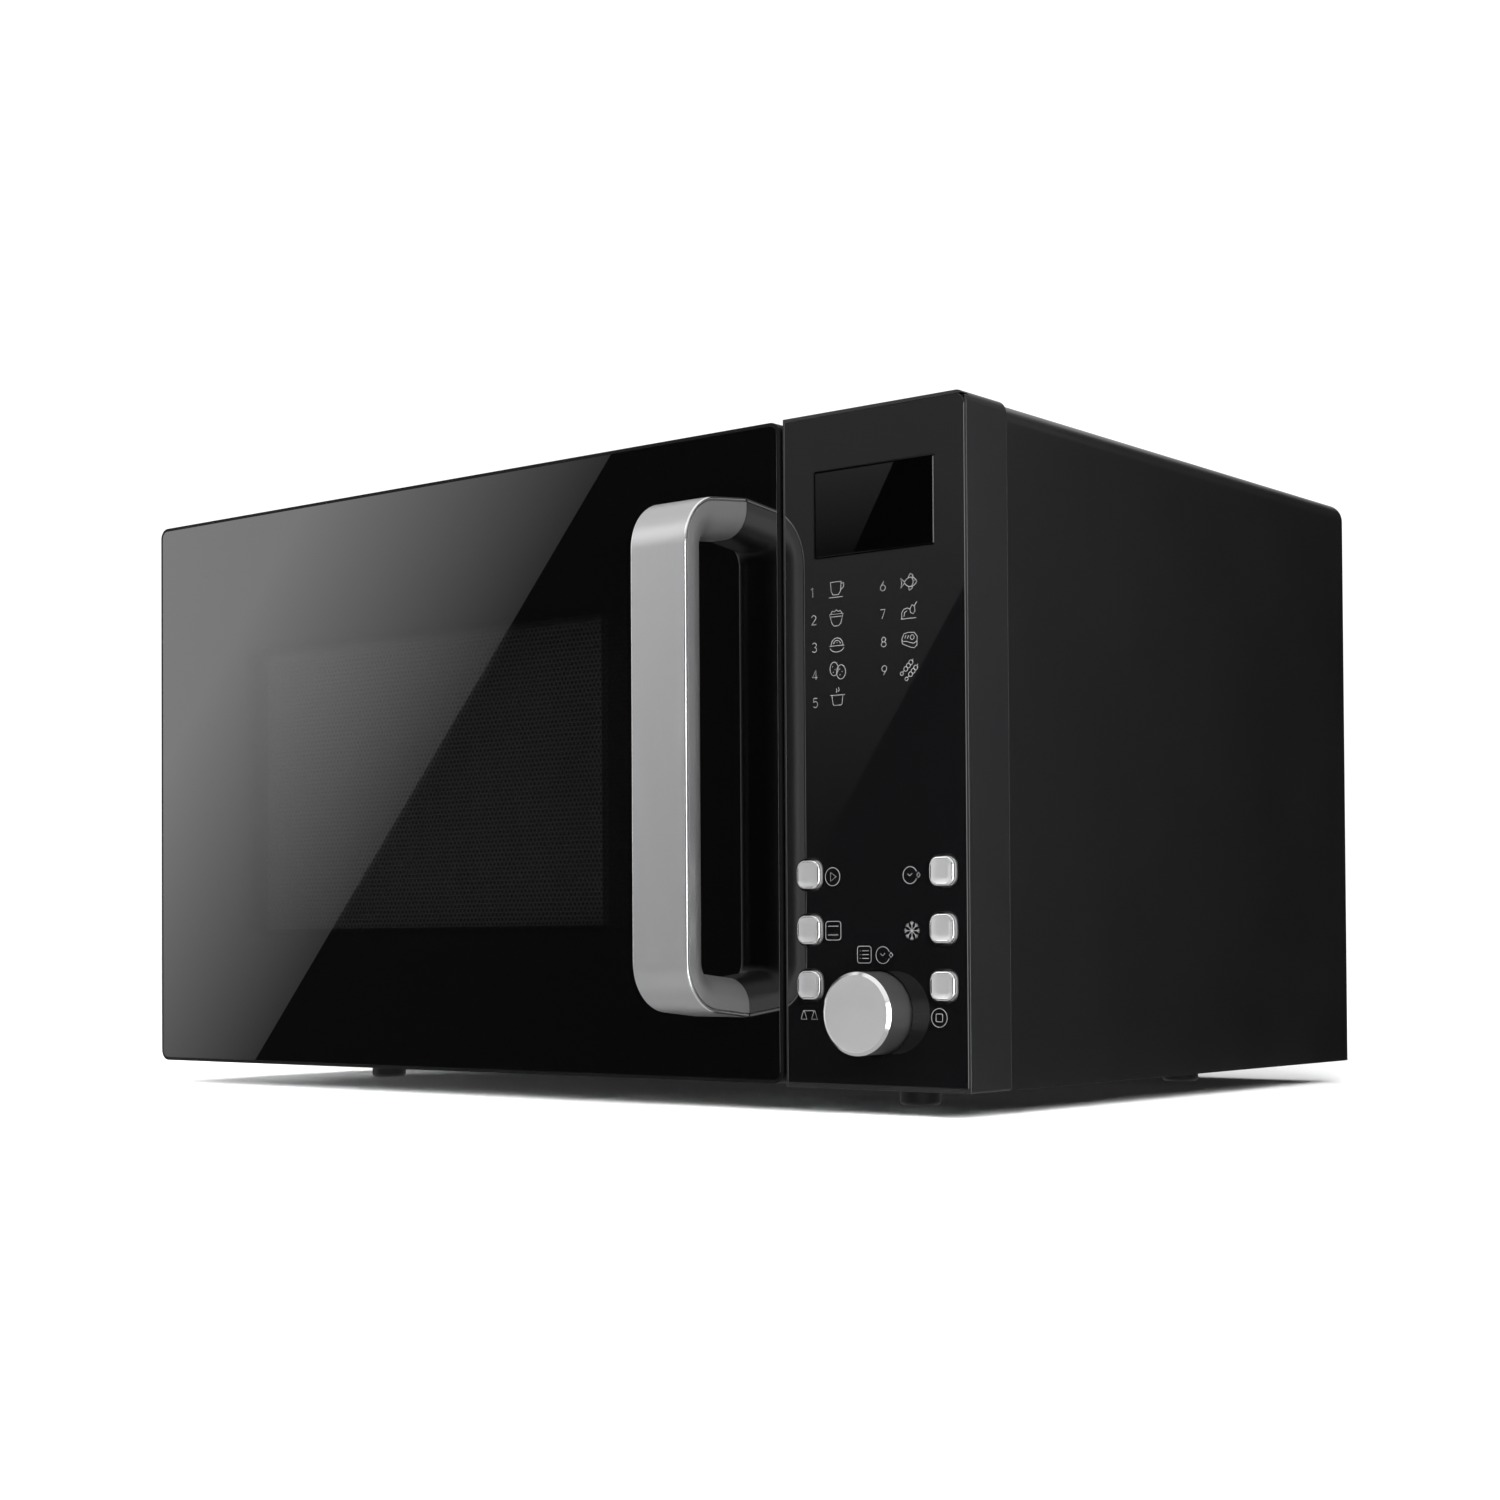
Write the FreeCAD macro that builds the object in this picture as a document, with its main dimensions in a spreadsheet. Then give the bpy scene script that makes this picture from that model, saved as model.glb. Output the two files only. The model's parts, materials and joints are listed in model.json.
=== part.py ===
"""Countertop microwave oven with grill: a parametric FreeCAD document, one object for each piece.

Millimetres.  Every piece is drawn in the case frame: X runs from the left side of the case, Y runs back
from the face of the door and Z runs up from the underside of the base plate.  The Placement of each piece
then moves it to the row frame, whose origin lies under the middle of the whole appliance, at the feet.
"""
import FreeCAD, Part
import Sketcher
import math
import os
import re

SIZES = {
    # Case
    "body_width": 485.0, "body_height": 269.0, "body_depth": 329.0, "foot_height": 10.0,
    "bulge_depth": 22.0, "handle_reach": 39.5, "skin": 0.8, "wrap_bend": 9.0, "wrap_flange": 9.0,
    "front_depth": 28.5, "case_gap": 0.4, "base_flange": 14.0,
    "bulge_left": 20.0, "bulge_right": 360.0, "bulge_low": 24.0, "bulge_high": 250.0, "bulge_bend": 14.0,
    # Oven
    "oven_left": 26.0, "oven_right": 354.0, "oven_floor": 30.0, "oven_ceiling": 244.0, "oven_deep": 312.0,
    "table_across": 190.0, "table_back": 185.0, "tray_radius": 135.0, "tray_thick": 4.0, "tray_rim": 13.0,
    "roller_track": 85.0, "roller_radius": 8.0, "roller_width": 7.0, "axle_radius": 2.05,
    "spindle_radius": 3.5, "running_gap": 0.08,
    "grill_left": 62.0, "grill_right": 318.0, "grill_front": 130.0, "grill_back": 240.0, "grill_rise": 17.0,
    # Door
    "door_edge": 0.3, "door_width": 395.2, "door_low": 1.0, "door_high": 268.7, "door_deep": 28.0,
    "door_corner": 5.0, "door_wall": 2.4, "glass_inset": 1.5, "glass_thick": 4.0, "web_thick": 2.5,
    "hinge_across": 7.0, "hinge_back": 19.0, "hinge_rail": 16.0, "hinge_round": 9.0, "pin_radius": 3.0,
    "notch_reach": 8.3, "notch_deep": 9.0, "tongue_thick": 2.0, "bore_deep": 13.0,
    "window_left": 58.0, "window_right": 322.0, "window_low": 62.0, "window_high": 206.0,
    "screen_back": 15.0, "screen_thick": 0.5,
    # Handle
    "handle_left": 349.3, "handle_wide": 29.0, "handle_middle": 133.6, "handle_half": 106.0,
    "handle_draft": 4.15, "strip_thick": 1.6, "grip_thick": 14.4, "handle_bend": 21.0, "trim": 3.0,
    "grip_round": 11.5, "handle_screw_half": 97.2,
    # Latch
    "latch_across": 378.0, "hook_low": 83.0, "hook_high": 191.0,
    # Control side
    "panel_left": 396.8, "panel_rim": 0.9, "fascia_thick": 3.0, "fascia_low": 1.8, "bezel_wall": 2.4,
    "panel_centre": 441.3, "display_wide": 57.0, "display_high": 34.2, "display_centre": 228.2,
    "knob_radius": 16.3, "knob_out": 14.2, "knob_chamfer": 1.75, "knob_centre": 30.1, "knob_gap": 0.8,
    "button_side": 12.0, "button_corner": 4.0, "button_gap": 0.4, "button_out": 1.8,
    "button_across": 31.9, "button_low": 40.9, "button_step": 22.0, "board_back": 17.0, "board_thick": 1.6,
    # Machinery bay
    "fan_across": 420.0, "fan_up": 199.0, "fan_radius": 47.0, "shroud_side": 116.0,
    "fan_back": 303.0, "magnetron_front": 155.0, "magnetron_low": 158.0, "magnetron_side": 80.0,
    "core_left": 371.0, "core_wide": 95.0, "core_high": 75.0, "core_front": 118.0, "core_deep": 60.0,
}

DOC = FreeCAD.newDocument("microwave_oven")
SHEET = DOC.addObject("Spreadsheet::Sheet", "sizes")
for row, (alias, number) in enumerate(SIZES.items(), start=1):
    SHEET.set(f"A{row}", alias)
    SHEET.set(f"B{row}", str(number))
    SHEET.setAlias(f"B{row}", alias)
DOC.recompute()

PIECES = []
PLANES = {"front": ("XZ_Plane", -1), "floor": ("XY_Plane", 1), "side": ("YZ_Plane", 1)}
FULL_TURN = 360.0
UP = FreeCAD.Vector(0, 0, 1)
TURNS = {
    "x": FreeCAD.Rotation(FreeCAD.Vector(0, 1, 0), 90),
    "y": FreeCAD.Rotation(FreeCAD.Vector(1, 0, 0), -90),
    "z": FreeCAD.Rotation(),
}


# ---------------------------------------------------------------- helpers: cells and placements
def in_cells(text):
    """Put the sheet's name before every alias in an expression, so that FreeCAD can read it."""
    return re.sub(r"[a-z_]+", lambda word: f"sizes.{word[0]}" if word[0] in SIZES else word[0], str(text))


def value(text):
    """The number that an expression of cells has now."""
    return float(SHEET.evalExpression(in_cells(text)))


def bind(thing, prop, text):
    thing.setExpression(prop, in_cells(text))


def place(piece, label, x="0", y="0", z="0", turn=None):
    """Name a piece, put its own origin at a point of the case frame, and keep it as a sub-part."""
    if turn is not None:
        piece.Placement = FreeCAD.Placement(FreeCAD.Vector(), turn)
    bind(piece, "Placement.Base.x", f"({x}) - body_width / 2")
    bind(piece, "Placement.Base.y", f"({y}) - (body_depth + bulge_depth - handle_reach) / 2")
    bind(piece, "Placement.Base.z", f"({z}) + foot_height")
    piece.Label = label
    PIECES.append(piece)
    return piece


# ---------------------------------------------------------------- helpers: sketched bodies
def new_body(name):
    return DOC.addObject("PartDesign::Body", name)


def sketch(body, facing, at="0"):
    """A sketch on one of the body's own planes, moved along that plane's axis to the height given."""
    role, sign = PLANES[facing]
    drawing = body.newObject("Sketcher::SketchObject", "sketch")
    plane = next(item for item in body.Origin.OriginFeatures if item.Role == role)
    drawing.AttachmentSupport = [(plane, "")]
    drawing.MapMode = "FlatFace"
    bind(drawing, "AttachmentOffset.Base.z", f"{sign} * ({at})")
    return drawing


def pin_down(drawing, geometry, vertex, u, v):
    """Hold one point of a sketch at two expressions."""
    for kind, text in (("DistanceX", u), ("DistanceY", v)):
        index = drawing.addConstraint(Sketcher.Constraint(kind, -1, 1, geometry, vertex, value(text)))
        bind(drawing, f"Constraints[{index}]", text)


def outline(drawing, points):
    """A closed run of straight edges through points given as pairs of expressions."""
    spots = [FreeCAD.Vector(value(u), value(v), 0) for u, v in points]
    first = drawing.GeometryCount
    for here, there in zip(spots, spots[1:] + spots[:1]):
        drawing.addGeometry(Part.LineSegment(here, there))
    for step, (u, v) in enumerate(points):
        following = first + (step + 1) % len(points)
        drawing.addConstraint(Sketcher.Constraint("Coincident", first + step, 2, following, 1))
        pin_down(drawing, first + step, 1, u, v)


def rectangle(left, low, right, high):
    return [(left, low), (right, low), (right, high), (left, high)]


def circle(drawing, u, v, radius):
    spot = FreeCAD.Vector(value(u), value(v), 0)
    ring = drawing.addGeometry(Part.Circle(spot, UP, value(radius)))
    pin_down(drawing, ring, 3, u, v)
    index = drawing.addConstraint(Sketcher.Constraint("Radius", ring, value(radius)))
    bind(drawing, f"Constraints[{index}]", radius)


def draw(drawing, shapes):
    """Draw each shape: a list of points is an outline, and a tuple of three is a circle."""
    for shape in shapes:
        if isinstance(shape, tuple):
            circle(drawing, *shape)
        else:
            outline(drawing, shape)


def pad(body, facing, at, length, *shapes):
    """Add material from the plane at a height, towards +X, +Y or +Z."""
    drawing = sketch(body, facing, at)
    draw(drawing, shapes)
    feature = body.newObject("PartDesign::Pad", "pad")
    feature.Profile = drawing
    feature.Reversed = PLANES[facing][1] < 0
    bind(feature, "Length", length)
    DOC.recompute()
    return body


def pocket(body, facing, at, length, *shapes):
    """Take material away from the plane at a height, towards +X, +Y or +Z."""
    before = body.Shape.Volume
    drawing = sketch(body, facing, at)
    draw(drawing, shapes)
    feature = body.newObject("PartDesign::Pocket", "pocket")
    feature.Profile = drawing
    feature.Reversed = PLANES[facing][1] > 0
    bind(feature, "Length", length)
    DOC.recompute()
    if body.Shape.Volume >= before:
        raise RuntimeError(f"a pocket in {body.Name} cuts nothing")
    return body


def repeat_up(body, count, step):
    """Repeat the last feature upwards."""
    last = body.Tip
    feature = body.newObject("PartDesign::LinearPattern", "pattern")
    feature.Originals = [last]
    feature.Direction = (last.Profile[0], ["V_Axis"])
    feature.Length = (count - 1) * step
    feature.Occurrences = count
    body.Tip = feature
    DOC.recompute()


def turned(name, points):
    """A body turned about its own Z axis from an outline of (radius, height) pairs."""
    body = new_body(name)
    drawing = sketch(body, "front")
    outline(drawing, points)
    feature = body.newObject("PartDesign::Revolution", "revolution")
    feature.Profile = drawing
    feature.ReferenceAxis = (drawing, ["V_Axis"])
    feature.Angle = FULL_TURN
    DOC.recompute()
    return body


def edges_at(shape, **where):
    """Names of the straight edges whose ends all have the coordinates given, such as x='0'."""
    wanted = {axis: value(text) for axis, text in where.items()}
    names = []
    for index, edge in enumerate(shape.Edges, start=1):
        ends = [vertex.Point for vertex in edge.Vertexes]
        fits = all(abs(getattr(end, axis) - number) < 0.01 for end in ends for axis, number in wanted.items())
        if fits and len(ends) == 2 and isinstance(edge.Curve, Part.Line):
            names.append(f"Edge{index}")
    return names


def soften(body, radius, *corners, kind="Fillet"):
    """Round, or chamfer, the edges found at each corner of a body."""
    names = [name for corner in corners for name in edges_at(body.Shape, **corner)]
    if not names:
        raise RuntimeError(f"no edge to soften in {body.Name}")
    before = body.Tip
    feature = body.newObject(f"PartDesign::{kind}", kind.lower())
    feature.Base = (before, names)
    bind(feature, "Radius" if kind == "Fillet" else "Size", radius)
    body.Tip = feature
    DOC.recompute()
    return body


def corners(left, low, right, high):
    """The four corners of an upright plate, as seen from the front."""
    return [{"x": x, "z": z} for x in (left, right) for z in (low, high)]


# ---------------------------------------------------------------- helpers: primitives
def box(x, y, z, right, back, top):
    """A block between two corners of the case frame."""
    solid = DOC.addObject("Part::Box", "block")
    for axis, low in zip("xyz", (x, y, z)):
        bind(solid, f"Placement.Base.{axis}", low)
    for prop, low, high in zip(("Length", "Width", "Height"), (x, y, z), (right, back, top)):
        bind(solid, prop, f"({high}) - ({low})")
    return solid


def rod(along, x, y, z, radius, length, end_radius=None):
    """A cylinder, or a cone, that starts at a point and runs along +X, +Y or +Z."""
    kind = "Part::Cylinder" if end_radius is None else "Part::Cone"
    solid = DOC.addObject(kind, "rod")
    solid.Placement = FreeCAD.Placement(FreeCAD.Vector(), TURNS[along])
    for axis, text in zip("xyz", (x, y, z)):
        bind(solid, f"Placement.Base.{axis}", text)
    bind(solid, "Height", length)
    if end_radius is None:
        bind(solid, "Radius", radius)
    else:
        bind(solid, "Radius1", radius)
        bind(solid, "Radius2", end_radius)
    return solid


def join(*solids):
    fused = DOC.addObject("Part::MultiFuse", "joined")
    fused.Shapes = list(solids)
    fused.Refine = True
    return fused


def cut(base, *tools):
    result = DOC.addObject("Part::Cut", "cut")
    result.Base = base
    result.Tool = tools[0] if len(tools) == 1 else join(*tools)
    return result


def common(first, second):
    shared = DOC.addObject("Part::Common", "shared")
    shared.Base, shared.Tool = first, second
    return shared


def group(*solids):
    """Separate solids that share one node."""
    together = DOC.addObject("Part::Compound", "group")
    together.Links = list(solids)
    return together


# ---------------------------------------------------------------- case
FOOT_SPOTS = [("416", "67"), ("59", "101"), ("416", "290"), ("59", "290")]
REAR_SCREWS = [("5", "10"), ("480", "10"), ("5", "150"), ("480", "150"), ("120", "263.5"), ("365", "263.5")]


def outer_wrap():
    """Top and both sides in one folded sheet, with a return round the rear edge."""
    body = new_body("outer_wrap")
    high, wide, fold = "body_height", "body_width", "wrap_flange"
    pad(body, "front", "front_depth", "body_depth - front_depth", [
        ("0", "0"), ("0", high), (wide, high), (wide, "0"), (f"{wide} - skin", "0"),
        (f"{wide} - skin", f"{high} - skin"), ("skin", f"{high} - skin"), ("skin", "0")])
    pad(body, "front", "body_depth - skin", "skin", [
        ("0", "0"), ("0", high), (wide, high), (wide, "0"), (f"{wide} - {fold}", "0"),
        (f"{wide} - {fold}", f"{high} - {fold}"), (fold, f"{high} - {fold}"), (fold, "0")])
    soften(body, "wrap_bend - skin", {"x": "skin", "z": f"{high} - skin"},
           {"x": f"{wide} - skin", "z": f"{high} - skin"})
    soften(body, "wrap_bend", {"x": "0", "z": high}, {"x": wide, "z": high})
    pocket(body, "front", "body_depth - 2 * skin", "3 * skin", *[(x, z, "1.6") for x, z in REAR_SCREWS])
    place(body, "outer_wrap")


def base_plate():
    """Floor pan with turned-up sides, air slots and holes for the feet."""
    body = new_body("base_plate")
    near, far = "skin + case_gap", "body_width - skin - case_gap"
    front, back = "front_depth + case_gap", "body_depth - 2 * skin - 0.1"
    pad(body, "front", front, f"{back} - ({front})", rectangle(near, "0", far, "skin"))
    pad(body, "front", f"{front} + 10", f"{back} - ({front}) - 10",
        rectangle(near, "0", f"{near} + skin", "base_flange"),
        rectangle(f"{far} - skin", "0", far, "base_flange"))
    slots = [rectangle(f"{370 + 13 * step}", y, f"{374 + 13 * step}", f"{y} + 20")
             for step in range(8) for y in ("82", "256")]
    pocket(body, "floor", "-1", "skin + 2", *slots, *[(x, y, "3") for x, y in FOOT_SPOTS])
    place(body, "base_plate")


def rear_panel():
    """Rear sheet, pressed out behind the oven, with rows of air slots behind the fan."""
    body = new_body("rear_panel")
    face = "body_depth - 2 * skin"
    edge, top, right = "skin + case_gap", "body_height - skin - case_gap", "body_width - skin - case_gap"
    pressed = ("bulge_left", "bulge_low", "bulge_right", "bulge_high")
    inner = ("bulge_left + skin", "bulge_low + skin", "bulge_right - skin", "bulge_high - skin")
    slots = [rectangle(f"{368 + 38 * column}", "146", f"{396 + 38 * column}", "149.4") for column in range(3)]
    pad(body, "front", face, "skin", rectangle(edge, "skin", right, top))
    pad(body, "front", face, "bulge_depth + 2 * skin", rectangle(*pressed))
    pocket(body, "front", f"{face} - 1", "bulge_depth + skin + 1", rectangle(*inner))
    soften(body, "bulge_bend - skin", *corners(*inner))
    soften(body, "bulge_bend", *corners(*pressed))
    soften(body, "wrap_bend - 2 * skin", {"x": edge, "z": top}, {"x": right, "z": top})
    pocket(body, "front", f"{face} - 1", "skin + 2", ("448", "40", "9"),
           *[(x, z, "1.3") for x, z in REAR_SCREWS])
    pocket(body, "front", f"{face} - 1", "skin + 2", *slots)
    repeat_up(body, 13, 8)
    place(body, "rear_panel")


def front_frame():
    """Steel face that the door closes on, with the oven mouth, latch slots and the control bay window."""
    body = new_body("front_frame")
    edge, top, right = "skin + case_gap", "body_height - skin - case_gap", "body_width - skin - case_gap"
    rim = (edge, edge, right, top)
    within = (f"{edge} + skin", f"{edge} + skin", f"{right} - skin", f"{top} - skin")
    hooks = [rectangle("latch_across - 4.5", f"{up} - 11", "latch_across + 5.5", f"{up} + 12")
             for up in ("hook_low", "hook_high")]
    tongues = [rectangle("hinge_across - 3.9", low, "hinge_across + 5.9", high) for low, high in
               (("door_high - 8.6", "door_high - 5.8"), ("door_low + 6", "door_low + 8.8"))]
    pad(body, "front", "front_depth", "skin", rectangle(*rim),
        rectangle("oven_left", "oven_floor", "oven_right", "oven_ceiling"),
        rectangle("401", "12", "479", "257"), *hooks, *tongues)
    pad(body, "front", "front_depth + skin", "9", rectangle(*rim), rectangle(*within))
    soften(body, "wrap_bend - 2 * skin - case_gap", {"x": within[0], "z": within[3]},
           {"x": within[2], "z": within[3]})
    soften(body, "wrap_bend - skin - case_gap", {"x": edge, "z": top}, {"x": right, "z": top})
    place(body, "front_frame")


def rubber_feet():
    feet = []
    for x, y in FOOT_SPOTS:
        feet.append(join(rod("z", x, y, "-foot_height", "7.6", "1", "8.6"),
                         rod("z", x, y, "1 - foot_height", "8.6", "foot_height - 1"),
                         rod("z", x, y, "0", "2.95", "skin"),
                         rod("z", x, y, "skin", "4.2", "2", "3")))
    place(group(*feet), "rubber_feet")


def case_screws():
    """Pan-head screws that hold the wrap to the rear panel."""
    screws = [join(rod("y", x, "body_depth", z, "3.4", "1.6", "2.6"),
                   rod("y", x, "body_depth - 7", z, "1.2", "7")) for x, z in REAR_SCREWS]
    place(group(*screws), "case_screws")


def cord_inlet():
    """Bush that lines the hole where a mains lead enters."""
    bush = turned("cord_inlet", [("4", "-6"), ("8.9", "-6"), ("8.9", "0.9"), ("11.5", "0.9"), ("11.5", "3"),
                                 ("8", "6"), ("4", "6")])
    place(bush, "cord_inlet", "448", "body_depth - 2 * skin", "40", TURNS["y"])


# ---------------------------------------------------------------- oven
def oven_cavity():
    """Enamelled steel box, open at the front, with holes for the table spindle, the waves and the grill."""
    body = new_body("oven_cavity")
    front = "front_depth + skin"
    inside = ("oven_left", "oven_floor", "oven_right", "oven_ceiling")
    outside = ("oven_left - skin", "oven_floor - skin", "oven_right + skin", "oven_ceiling + skin")
    pad(body, "front", front, "oven_deep", rectangle(*outside), rectangle(*inside))
    pad(body, "front", f"{front} + oven_deep", "skin", rectangle(*outside))
    pocket(body, "floor", "oven_floor - 2", "4", ("table_across", "table_back", "8"))
    pocket(body, "floor", "oven_ceiling - 1", "4",
           rectangle("grill_left + 6", "grill_front + 6", "grill_right - 6", "grill_back - 6"))
    pocket(body, "side", "oven_right - 1", "4", rectangle("160", "150", "235", "215"), ("262", "212", "10"))
    place(body, "oven_cavity")


def waveguide():
    """Steel duct on the right wall of the oven, from the magnetron to the oven."""
    shell = box("oven_right + skin", "150", "142", "oven_right + 20", "245", "236")
    hollow = box("oven_right", "151.2", "143.2", "oven_right + 18.8", "243.8", "234.8")
    mouth = rod("x", "oven_right + 15", "195", "198", "9.5", "8")
    place(cut(shell, hollow, mouth), "waveguide")


def waveguide_cover():
    body = new_body("waveguide_cover")
    pad(body, "side", "oven_right - 0.7", "0.6", rectangle("154", "144", "241", "221"))
    place(body, "waveguide_cover")


def oven_lamp():
    bulb = rod("x", "oven_right + 3", "262", "212", "8", "16")
    socket = box("oven_right + 18", "251", "201", "oven_right + 32", "273", "223")
    place(join(bulb, socket), "oven_lamp")


def grill_reflector():
    """Pan above the ceiling that holds the heater tubes and throws their heat down."""
    top = "oven_ceiling + skin + grill_rise"
    pan = box("grill_left", "grill_front", "oven_ceiling + skin", "grill_right", "grill_back", top)
    hollow = box("grill_left + 1", "grill_front + 1", "oven_ceiling", "grill_right - 1", "grill_back - 1",
                 f"{top} - 1")
    place(cut(pan, hollow), "grill_reflector")


def grill_heater():
    """Two quartz tubes, each with ceramic ends."""
    tubes = []
    for y in ("grill_front + 35", "grill_back - 35"):
        up = "oven_ceiling + 9"
        tubes.append(join(rod("x", "grill_left + 14", y, up, "5.5", "grill_right - grill_left - 28"),
                          rod("x", "grill_left + 2", y, up, "7.5", "12"),
                          rod("x", "grill_right - 14", y, up, "7.5", "12")))
    place(group(*tubes), "grill_heater")


def grill_guard():
    """Wire grid just below the heater tubes."""
    up = "oven_ceiling - 2.2"
    long_wires = [rod("x", "grill_left + 2", f"grill_front + {4 + 17 * step}", up, "1.1",
                      "grill_right - grill_left - 4") for step in range(7)]
    cross_wires = [rod("y", f"grill_left + {6 + 61 * step}", "grill_front + 2", f"{up} + 0.8", "1.1",
                       "grill_back - grill_front - 4") for step in range(5)]
    place(join(*long_wires, *cross_wires), "grill_guard")


# ---------------------------------------------------------------- turntable
def turntable_motor():
    """Flat synchronous motor below the oven floor."""
    can = rod("z", "table_across", "table_back", "9", "24", "19")
    ears = box("table_across - 32", "table_back - 6", "26", "table_across + 32", "table_back + 6", "28")
    hole = rod("z", "table_across", "table_back", "14", "spindle_radius + running_gap", "20")
    place(cut(join(can, ears), hole), "turntable_motor")


def turntable_coupler():
    """Three-lobed driver with its spindle."""
    spindle = rod("z", "0", "0", "15 - oven_floor", "spindle_radius", "oven_floor - 12")
    hub = rod("z", "0", "0", "2", "7", "12")
    lobes = []
    for step in range(3):
        lobe = DOC.addObject("Part::Box", "lobe")
        lobe.Length, lobe.Width, lobe.Height = 21, 7, 5
        turn = FreeCAD.Rotation(UP, 120 * step)
        lobe.Placement = FreeCAD.Placement(turn.multVec(FreeCAD.Vector(0, -3.5, 9)), turn)
        lobes.append(lobe)
    place(join(spindle, hub, *lobes), "turntable_coupler", "table_across", "table_back", "oven_floor")


def glass_tray():
    """Round glass plate with a raised rim; its underside rests on the rollers."""
    low = "2 * roller_radius + 0.3"
    tray = turned("glass_tray", [
        ("0", low), ("tray_radius - 12", low), ("tray_radius", f"{low} + tray_rim - 2"),
        ("tray_radius", f"{low} + tray_rim"), ("tray_radius - 3", f"{low} + tray_rim"),
        ("tray_radius - 14", f"{low} + tray_thick"), ("0", f"{low} + tray_thick")])
    place(tray, "glass_tray", "table_across", "table_back", "oven_floor")


def roller_ring():
    """Ring with three stub axles that carry the rollers."""
    ring = cut(rod("z", "0", "0", "roller_radius - 3", "roller_track - 6", "6"),
               rod("z", "0", "0", "roller_radius - 4", "roller_track - 11", "8"))
    axles = []
    for step in range(3):
        swing = FreeCAD.Rotation(UP, 120 * step)
        axle = DOC.addObject("Part::Cylinder", "axle")
        bind(axle, "Radius", "axle_radius - running_gap")
        axle.Height = value("roller_width + 9")
        start = swing.multVec(FreeCAD.Vector(value("roller_track - 8"), 0, value("roller_radius")))
        axle.Placement = FreeCAD.Placement(start, swing.multiply(TURNS["x"]))
        axles.append(axle)
    place(join(ring, *axles), "roller_ring", "table_across", "table_back", "oven_floor + 0.1")


def roller_wheels():
    """Three plain wheels; each spins about its own stub axle."""
    for step in range(3):
        swing = math.radians(120 * step)
        half = "roller_width / 2"
        wheel = turned("roller_wheel", [
            ("axle_radius", f"-{half}"), ("roller_radius - 1", f"-{half}"), ("roller_radius", f"1 - {half}"),
            ("roller_radius", f"{half} - 1"), ("roller_radius - 1", half), ("axle_radius", half)])
        turn = FreeCAD.Rotation(UP, 120 * step).multiply(TURNS["x"])
        place(wheel, f"roller_wheel_{step + 1}", f"table_across + roller_track * {math.cos(swing):.6f}",
              f"table_back + roller_track * {math.sin(swing):.6f}", "oven_floor + roller_radius + 0.1", turn)


# ---------------------------------------------------------------- door
def door_frame():
    """Moulded frame: outer walls, a web behind the glass and a solid rail that holds the hinge bores."""
    body = new_body("door_frame")
    left, low, right, high = "door_edge", "door_low", "door_width", "door_high"
    wall, web = "door_wall", "glass_thick + 0.1"
    pad(body, "front", "0.2", "door_deep - 0.2", rectangle(left, low, right, high))
    soften(body, "hinge_round", {"x": left, "y": "door_deep"})
    inset = "glass_inset - 0.1"
    recess = (f"{left} + {inset}", f"{low} + {inset}", f"{right} - ({inset})", f"{high} - ({inset})")
    pocket(body, "front", "-1", f"{web} + 1", rectangle(*recess))
    soften(body, "door_corner - glass_inset", *corners(*recess))
    soften(body, "door_corner", *corners(left, low, right, high))
    hollow = ("hinge_rail", f"{low} + {wall}", f"{right} - {wall}", f"{high} - {wall}")
    pocket(body, "front", f"{web} + web_thick", "door_deep", rectangle(*hollow))
    pocket(body, "front", "2", "8", rectangle("window_left - 12", "window_low - 14", "window_right + 12",
                                              "window_high + 14"))
    reach = ("-1", "hinge_back - notch_reach", "hinge_across + notch_reach", "door_deep + 1")
    pocket(body, "floor", f"{high} - notch_deep", "notch_deep + 1", rectangle(*reach))
    pocket(body, "floor", f"{low} - 1", "notch_deep + 1", rectangle(*reach))
    bore = ("hinge_across", "hinge_back", "pin_radius + running_gap")
    pocket(body, "floor", f"{high} - notch_deep - bore_deep", "bore_deep + 1", bore)
    pocket(body, "floor", f"{low} + notch_deep - 1", "bore_deep + 1", bore)
    screw_holes = [("handle_left + handle_wide / 2", f"handle_middle {sign} handle_screw_half", "2.2")
                   for sign in "+-"]
    pocket(body, "front", "2", "8", *screw_holes)
    place(body, "door_frame")


def door_glass():
    """Outer glass, flush with the frame's rim, with two holes for the handle screws."""
    body = new_body("door_glass")
    plate = ("door_edge + glass_inset", "door_low + glass_inset", "door_width - glass_inset",
             "door_high - glass_inset")
    pad(body, "front", "0", "glass_thick", rectangle(*plate))
    soften(body, "door_corner - glass_inset", *corners(*plate))
    holes = [("handle_left + handle_wide / 2", f"handle_middle {sign} handle_screw_half", "2.2")
             for sign in "+-"]
    pocket(body, "front", "-1", "glass_thick + 2", *holes)
    place(body, "door_glass")


def door_panel():
    """Steel panel: a web round the screen and the outer wall of the choke channel."""
    body = new_body("door_panel")
    rim = ("22", "14", "366", "255")
    within = ("22 + skin", "14 + skin", "366 - skin", "255 - skin")
    window = ("window_left + 6", "window_low + 4", "window_right - 6", "window_high - 4")
    pad(body, "front", "screen_back", "skin", rectangle(*rim), rectangle(*window))
    pad(body, "front", "screen_back + skin", "9.5", rectangle(*rim), rectangle(*within))
    bosses = [(x, z, "4") for x in ("22 + 8", "366 - 8") for z in ("100", "168")]
    web_back = "glass_thick + web_thick + 0.1"
    pad(body, "front", web_back, f"screen_back - ({web_back})", *bosses)
    place(body, "door_panel")


def door_screen():
    """Perforated sheet over the window, drawn here as its plain blank."""
    body = new_body("door_screen")
    pad(body, "front", "screen_back - screen_thick", "screen_thick",
        rectangle("window_left + 2", "window_low", "window_right - 2", "window_high"))
    place(body, "door_screen")


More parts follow.
